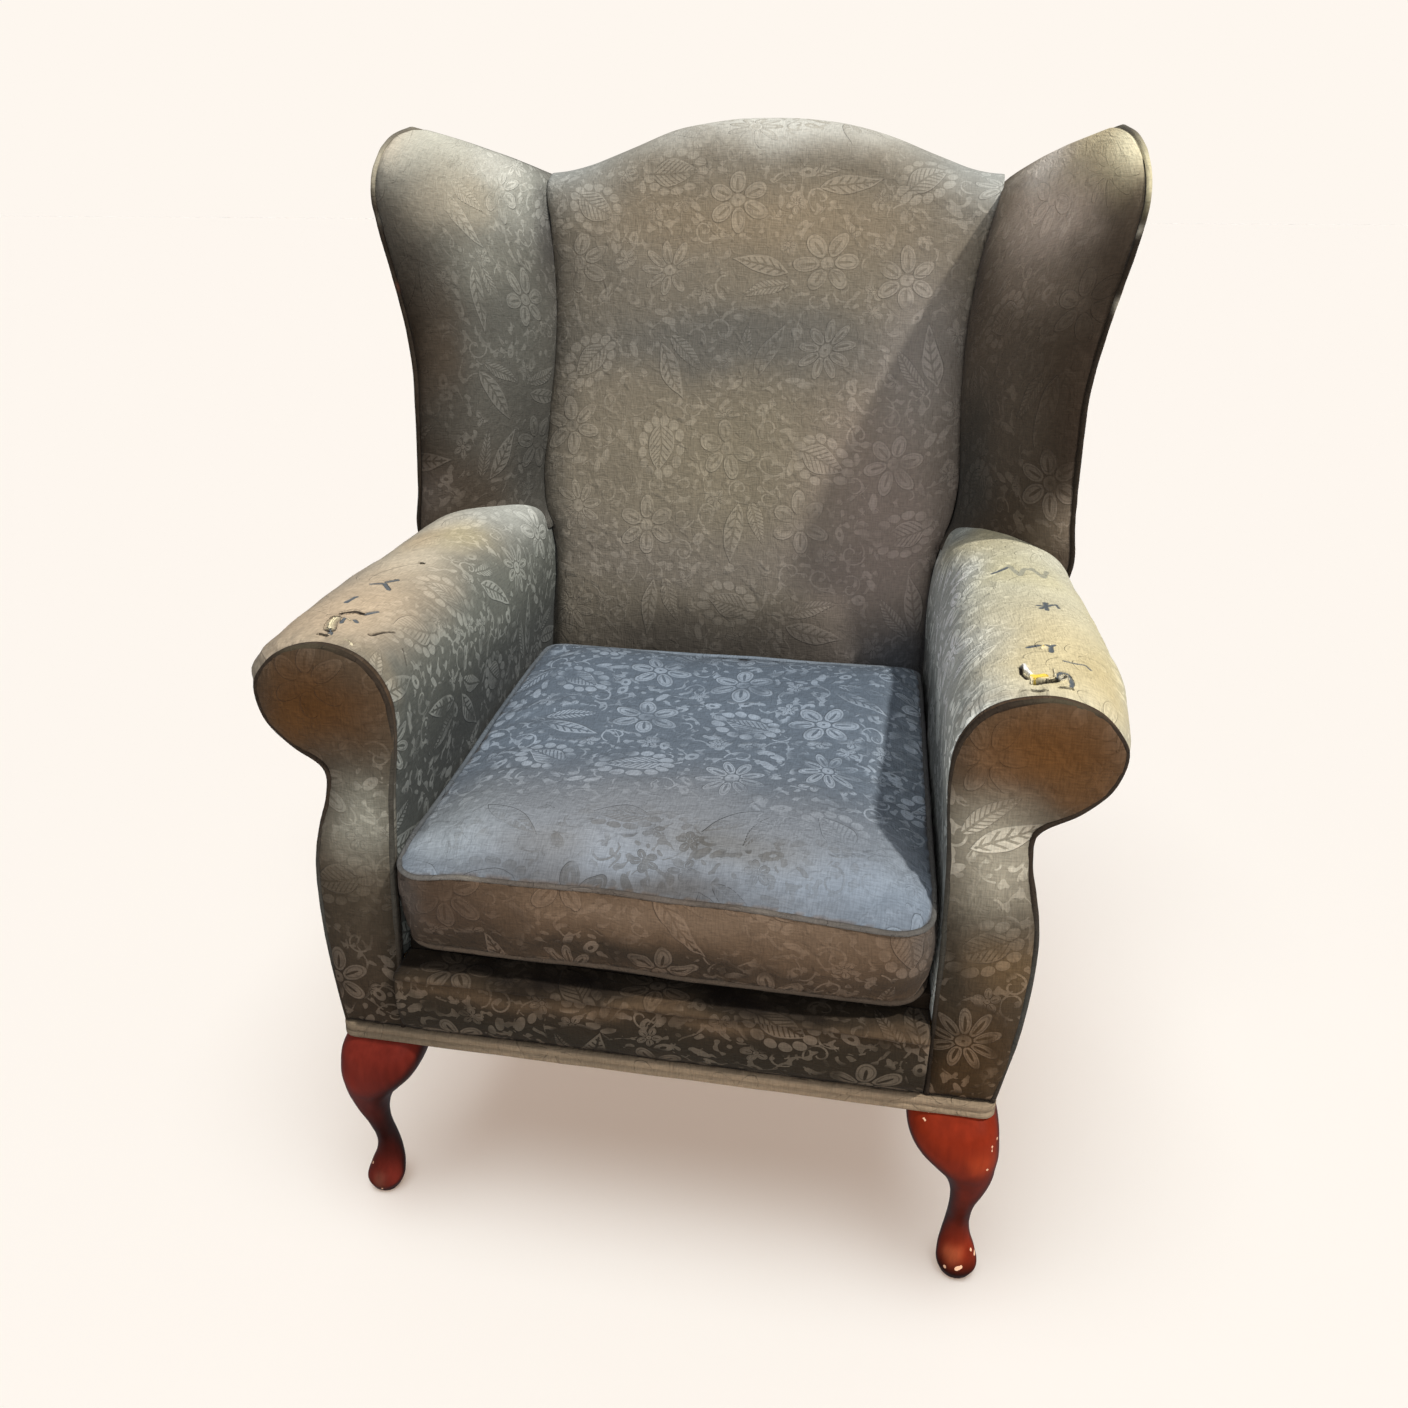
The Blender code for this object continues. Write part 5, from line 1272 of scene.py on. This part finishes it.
# --- base and legs --------------------------------------------------------------------------------------
def base_band():
    """A flat cotton band round the foot of the upholstery, folded so that two lines run along it."""
    front_x, rear_x, corner = OUT_FRONT + 0.002, OUT_REAR + 0.002, 0.012
    front_y, rear_y = FACING_FRONT - 0.002, rear(BASE_TOP) + 0.0035
    a = np.radians(np.linspace(270, 360, 9))
    turn = np.stack([front_x - corner + corner * np.cos(a), front_y + corner + corner * np.sin(a)], 1)
    half = np.vstack([[(0.0, front_y)], turn, [(rear_x, rear_y), (0.0, rear_y)]])
    path = evenly(np.vstack([half, (half * [-1, 1])[::-1][1:]]), 520)[:-1]
    along = unit(np.roll(path, -1, 0) - np.roll(path, 1, 0))
    out = np.stack([along[:, 1], -along[:, 0]], 1)
    height = BASE_TOP - BASE_BOTTOM
    inner = 0.0065 * smoothstep(-0.378, -0.385, path[:, 1])
    tacked = -0.0048
    profile = [(tacked, 0.0), (-0.0005, 0.0), (0.0004, 0.10), (0.0004, 0.40), (-0.0010, 0.46),
               (-0.0010, 0.54), (0.0004, 0.60), (0.0004, 0.90), (-0.0005, 1.0), (tacked, 1.0)]
    rows = []
    for p, n, more in zip(*(np.concatenate([loop, loop[:1]]) for loop in (path, out, inner))):
        rows.append([(*(p + n * (d - more * (d == tacked))), BASE_BOTTOM + height * t) for d, t in profile])
    points = np.array(rows)
    band = skin("band_tape", points, wrap_uv(points, lengths(points[:, 0])) + [22.0, 0.0], caps=False)
    weld(band)
    dents(band, (0.03, 0.0004, 3))
    paint(band, "#83735f", [
        ("#5a5043", 0.7, (-0.3, -0.38, 0.23), (0.10, 0.05, 0.02)),
        ("#948069", 0.7, (0.16, -0.39, 0.23), (0.15, 0.05, 0.02)),
    ], contrast=0.05, grime=1.0)
    return kept(band, "base_band", slot="base_band")


# Where feet and brooms knocked the lacquer off: the middle of the patch, its spread and its count of chips.
CHIPPED = {
    "right": [((0.309, -0.391, 0.199), 0.0030, 3), ((0.249, -0.386, 0.221), 0.0045, 3),
              ((0.306, -0.395, 0.172), 0.0010, 1), ((0.297, -0.356, 0.018), 0.0035, 4),
              ((0.312, -0.342, 0.025), 0.0045, 3)],
    "left": [((-0.312, -0.380, 0.190), 0.0010, 1), ((-0.293, -0.355, 0.020), 0.0060, 2)],
}


def cabriole_leg(side, word):
    """A carved leg: square knee, slim ankle, pad foot. It is painted darker, as shade, where it turns away
    from the front and the top.
    """
    z = np.concatenate([[0.2222, 0.2219, 0.2213, 0.2202], np.linspace(0.2185, 0.0310, 130),
                        np.linspace(0.0300, 0.0040, 28)])
    cx, cy, hx, hy, square = (keyed(LEG_SECTIONS, z, k) for k in range(1, 6))
    for half in (hx, hy):
        half[:4] -= [0.0048, 0.0026, 0.0011, 0.0003]    # its top edge is rounded over
    a = 2 * np.pi * (np.arange(96) + 0.5) / 96
    c, s = np.cos(a), np.sin(a)
    cx, cy, hx, hy, square, height = (column[:, None] for column in (cx, cy, hx, hy, square, z))
    reach = (np.abs(c) ** square + np.abs(s) ** square) ** (-1 / square)
    right = np.stack([cx + hx * reach * c, cy + hy * reach * s, np.broadcast_to(height, reach.shape)], -1)
    points = mirrored(right, side)
    leg = skin(f"front_leg_{word}", points, wrap_uv(points, z))
    co = coords(leg)
    knocks = np.random.default_rng(3)
    chips = np.zeros(len(co))
    for middle, spread, count in CHIPPED[word]:
        for _ in range(count):
            at = co[np.argmin(np.sum((co - knocks.normal(middle, spread)) ** 2, 1))]
            chips += np.exp(-np.sum(((co - at) / knocks.uniform(0.0016, 0.0026)) ** 2, 1))
    layer = leg.data.attributes.new("chips", "FLOAT", "POINT")
    layer.data.foreach_set("value", np.clip(chips, 0, 1).astype(np.float32))
    n = normals(leg)
    # Painted shade: darker where the surface turns away from the front and the top.
    turned = 0.88 * smoothstep(0.60, 0.08, 0.64 * n[:, 2] - 0.77 * n[:, 1])
    # Painted light and shade: the left leg is painted darker as a shaded copy of the right; the ankle, the
    # knee's inner side and the foot's underside are painted shade, and the lighter knee patch and foot middle
    # are painted highlights.
    paint(leg, ("#66231a", "#782511"), [
        (("#260804", "#4f1a10"), 0.96, (0.294, -0.345, 0.092), (0.04, 0.05, 0.050)),
        (("#4a1209", "#6e230f"), 0.60, (0.240, -0.380, 0.190), (0.03, 0.05, 0.04)),
        (("#6d1d0f", "#98381a"), 0.80, (0.303, -0.395, 0.178), (0.014, 0.05, 0.020)),
        (("#64382c", "#9c4c2f"), 0.85, (0.295, -0.350, 0.026), (0.007, 0.03, 0.010)),
        ("#1a0c08", 0.97, (0.296, -0.352, 0.004), (0.05, 0.06, 0.016)),
    ], contrast=0.0, grime=0.9, marks=[("#2a0d07", turned)], side=side)
    return kept(leg, f"cabriole_leg_{word}", slot="leg_mahogany", finish=MAHOGANY)


def dust_cover():
    """Black cloth tacked under the frame."""
    low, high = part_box("dust_cover")
    front_half, rear_half, thickness = 0.2990, 0.2860, 0.0012
    u = np.linspace(0, 1, 50)
    rows = []
    for s in u:
        half = lerp(front_half, rear_half, s)
        sag = 0.0012 * np.sin(np.pi * u) * math.sin(math.pi * s)
        top = np.stack([lerp(-half, half, u), np.full(50, lerp(low.y, high.y, s)), high.z - sag], 1)
        rows.append(np.vstack([top, top[::-1] - [0, 0, thickness]]))
    points = np.array(rows)
    cover = skin("under_cloth", points, wrap_uv(points, points[:, 0, 1]))
    kept(cover, "dust_cover", slot="dust_cloth", finish=BLACK_CLOTH)
    return cover


# --- the chair ---------------------------------------------------------------------------------------------
JACQUARD = woven_jacquard()
MAHOGANY = lacquered_mahogany("lacquered_mahogany")
BLACK_CLOTH = plain_finish("nonwoven_dust_cloth", "#1d1c1b", "#34322f", 0.0016, 0.0003, Roughness=0.95)
FINISHES = {
    "frame_beech": plain_finish("sawn_beech", "#9a7448", "#c39c6a", 0.006, 0.0004, Roughness=0.72),
    "leg_mahogany": lacquered_mahogany("lacquered_mahogany_rear", "#6a1c0c"),
    "spring_steel": plain_finish("drawn_spring_wire", "#77797c", "#a2a4a8", 0.004, 0.0001, Roughness=0.36,
                                 Metallic=1.0),
    "webbing": plain_finish("jute_webbing", "#5d4c36", "#8d7552", 0.0025, 0.0005, Roughness=0.92),
    "glide": plain_finish("moulded_nylon", "#1c120e", "#2e1f18", 0.002, 0.0001, Roughness=0.45),
    "dust_cloth": BLACK_CLOTH, "jacquard": JACQUARD, "piping": JACQUARD, "base_band": JACQUARD,
}
for row in frame["record"]["subparts"]:
    node = frame["nodes"][row["node"]]
    node.data.materials.clear()
    node.data.materials.append(FINISHES[row["material_slot"]])

inside_back()
outside_back()
for side, word in ((1, "right"), (-1, "left")):
    wing_pad(side, word)
    outside_wing(side, word)
    wing_piping(side, word)
    inside_arm(side, word)
    arm_facing(side, word)
    arm_piping(side, word)
    outside_arm(side, word)
    cabriole_leg(side, word)
front_border()
seat_deck()
cushion_and_cords = seat_cushion()
base_band()
dust_cover()


# --- floor, light and camera ---------------------------------------------------------------------------
def lamp(name, kind, toward, energy, receivers, blockers=None, **settings):
    """A lamp that shines from this point, or for a sun from this direction, on what receivers lets it light.

    Blockers, if given, are all that casts its shadows. Only suns are mirrored in the lacquer, so that no
    lamp leaves a rectangle there.
    """
    made = bpy.data.lights.new(name, kind)
    made.energy = energy
    for key, value in settings.items():
        setattr(made, key, value)
    obj = bpy.data.objects.new(name, made)
    obj.location = toward
    obj.rotation_euler = (Vector(toward) - Vector((0, 0, 0.5))).to_track_quat("Z", "Y").to_euler()
    obj.light_linking.receiver_collection = receivers
    obj.light_linking.blocker_collection = blockers
    obj.visible_glossy = kind == "SUN"
    bpy.context.scene.collection.objects.link(obj)


def only(name, *pieces, excluded=False):
    """A collection for a lamp: it lights these pieces alone, or all but them."""
    made = bpy.data.collections.new(name)
    for k, piece in enumerate(pieces):
        made.objects.link(piece)
        if excluded:
            made.collection_objects[k].light_linking.link_state = "EXCLUDE"
    return made


def studio(cushion):
    """A pale floor with even lamps of its own, a key from the right, and a front fill.

    The loose cushion has its key from further forward than the rest of the chair.
    """
    finish, *_ = material("pale_floor", Base_Color=linear("#fdf6ed"), Roughness=0.95, Specular_IOR_Level=0.0)
    floor = new_mesh("floor", [(-60, -40, 0), (60, -40, 0), (60, 60, 0), (-60, 60, 0)], [(0, 1, 2, 3)])
    floor.data.materials.append(finish)
    floor.visible_glossy = False
    floor_only, not_floor = only("floor_only", floor), only("not_floor", floor, excluded=True)
    warm = dict(angle=math.radians(2.6), color=(1.0, 0.97, 0.91))
    lamp("key", "SUN", (6.2, -2.1, 9.5), 3.1, only("not_seat", floor, *cushion, excluded=True), **warm)
    lamp("seat_key", "SUN", (4.1, -7.4, 9.5), 3.2, only("seat", *cushion), **warm)
    lamp("front_fill", "AREA", (0.2, -3.1, 2.0), 50, not_floor, size=2.4, color=(0.96, 0.98, 1.0))
    lamp("floor_light", "SUN", (0, -2.6, 9), 1.98, floor_only, angle=math.radians(46),
         color=(0.84, 0.95, 1.02))
    lamp("floor_even", "SUN", (0, 0, 9), 0.728, floor_only, floor_only, color=(1.0, 0.689, 0.495))
    lamp("floor_lift", "POINT", (0, 0, 0.6), 1.9, floor_only, floor_only)
    world = bpy.data.worlds.new("studio")
    bpy.context.scene.world = world
    world.use_nodes = True
    tree = world.node_tree
    seen = add(tree, "Background", linear("#fef7ef"), 1.0)
    shining = add(tree, "Background", linear("#f4f6fb"), 0.30)
    picture = add(tree, "MixShader", add(tree, "LightPath"), shining, seen)
    tree.links.new(picture, tree.nodes["World Output"].inputs[0])


def camera():
    """Stands a little to the right of the front, as high as the wings, and looks down at the seat."""
    azimuth, elevation, roll = (math.radians(a) for a in (11.3, 22.68, 0.37))
    back = Vector((math.sin(azimuth) * math.cos(elevation), -math.cos(azimuth) * math.cos(elevation),
                   math.sin(elevation)))
    right = (-back).cross(Vector((0, 0, 1))).normalized()
    up = right.cross(-back)
    right, up = (math.cos(roll) * right + math.sin(roll) * up, math.cos(roll) * up - math.sin(roll) * right)
    lens = bpy.data.cameras.new("camera")
    lens.lens, lens.sensor_width, lens.shift_x, lens.shift_y = 33.1, 36.0, 0.052, 0.021
    lens.clip_end = 50
    obj = bpy.data.objects.new("camera", lens)
    turned = Matrix((right, up, back)).transposed().to_4x4()
    obj.matrix_world = Matrix.Translation((0.171, -1.363, 0.982)) @ turned
    bpy.context.scene.collection.objects.link(obj)
    bpy.context.scene.camera = obj


studio(cushion_and_cords)
camera()
bpy.context.scene.view_settings.view_transform = "Standard"
bpy.context.view_layer.update()
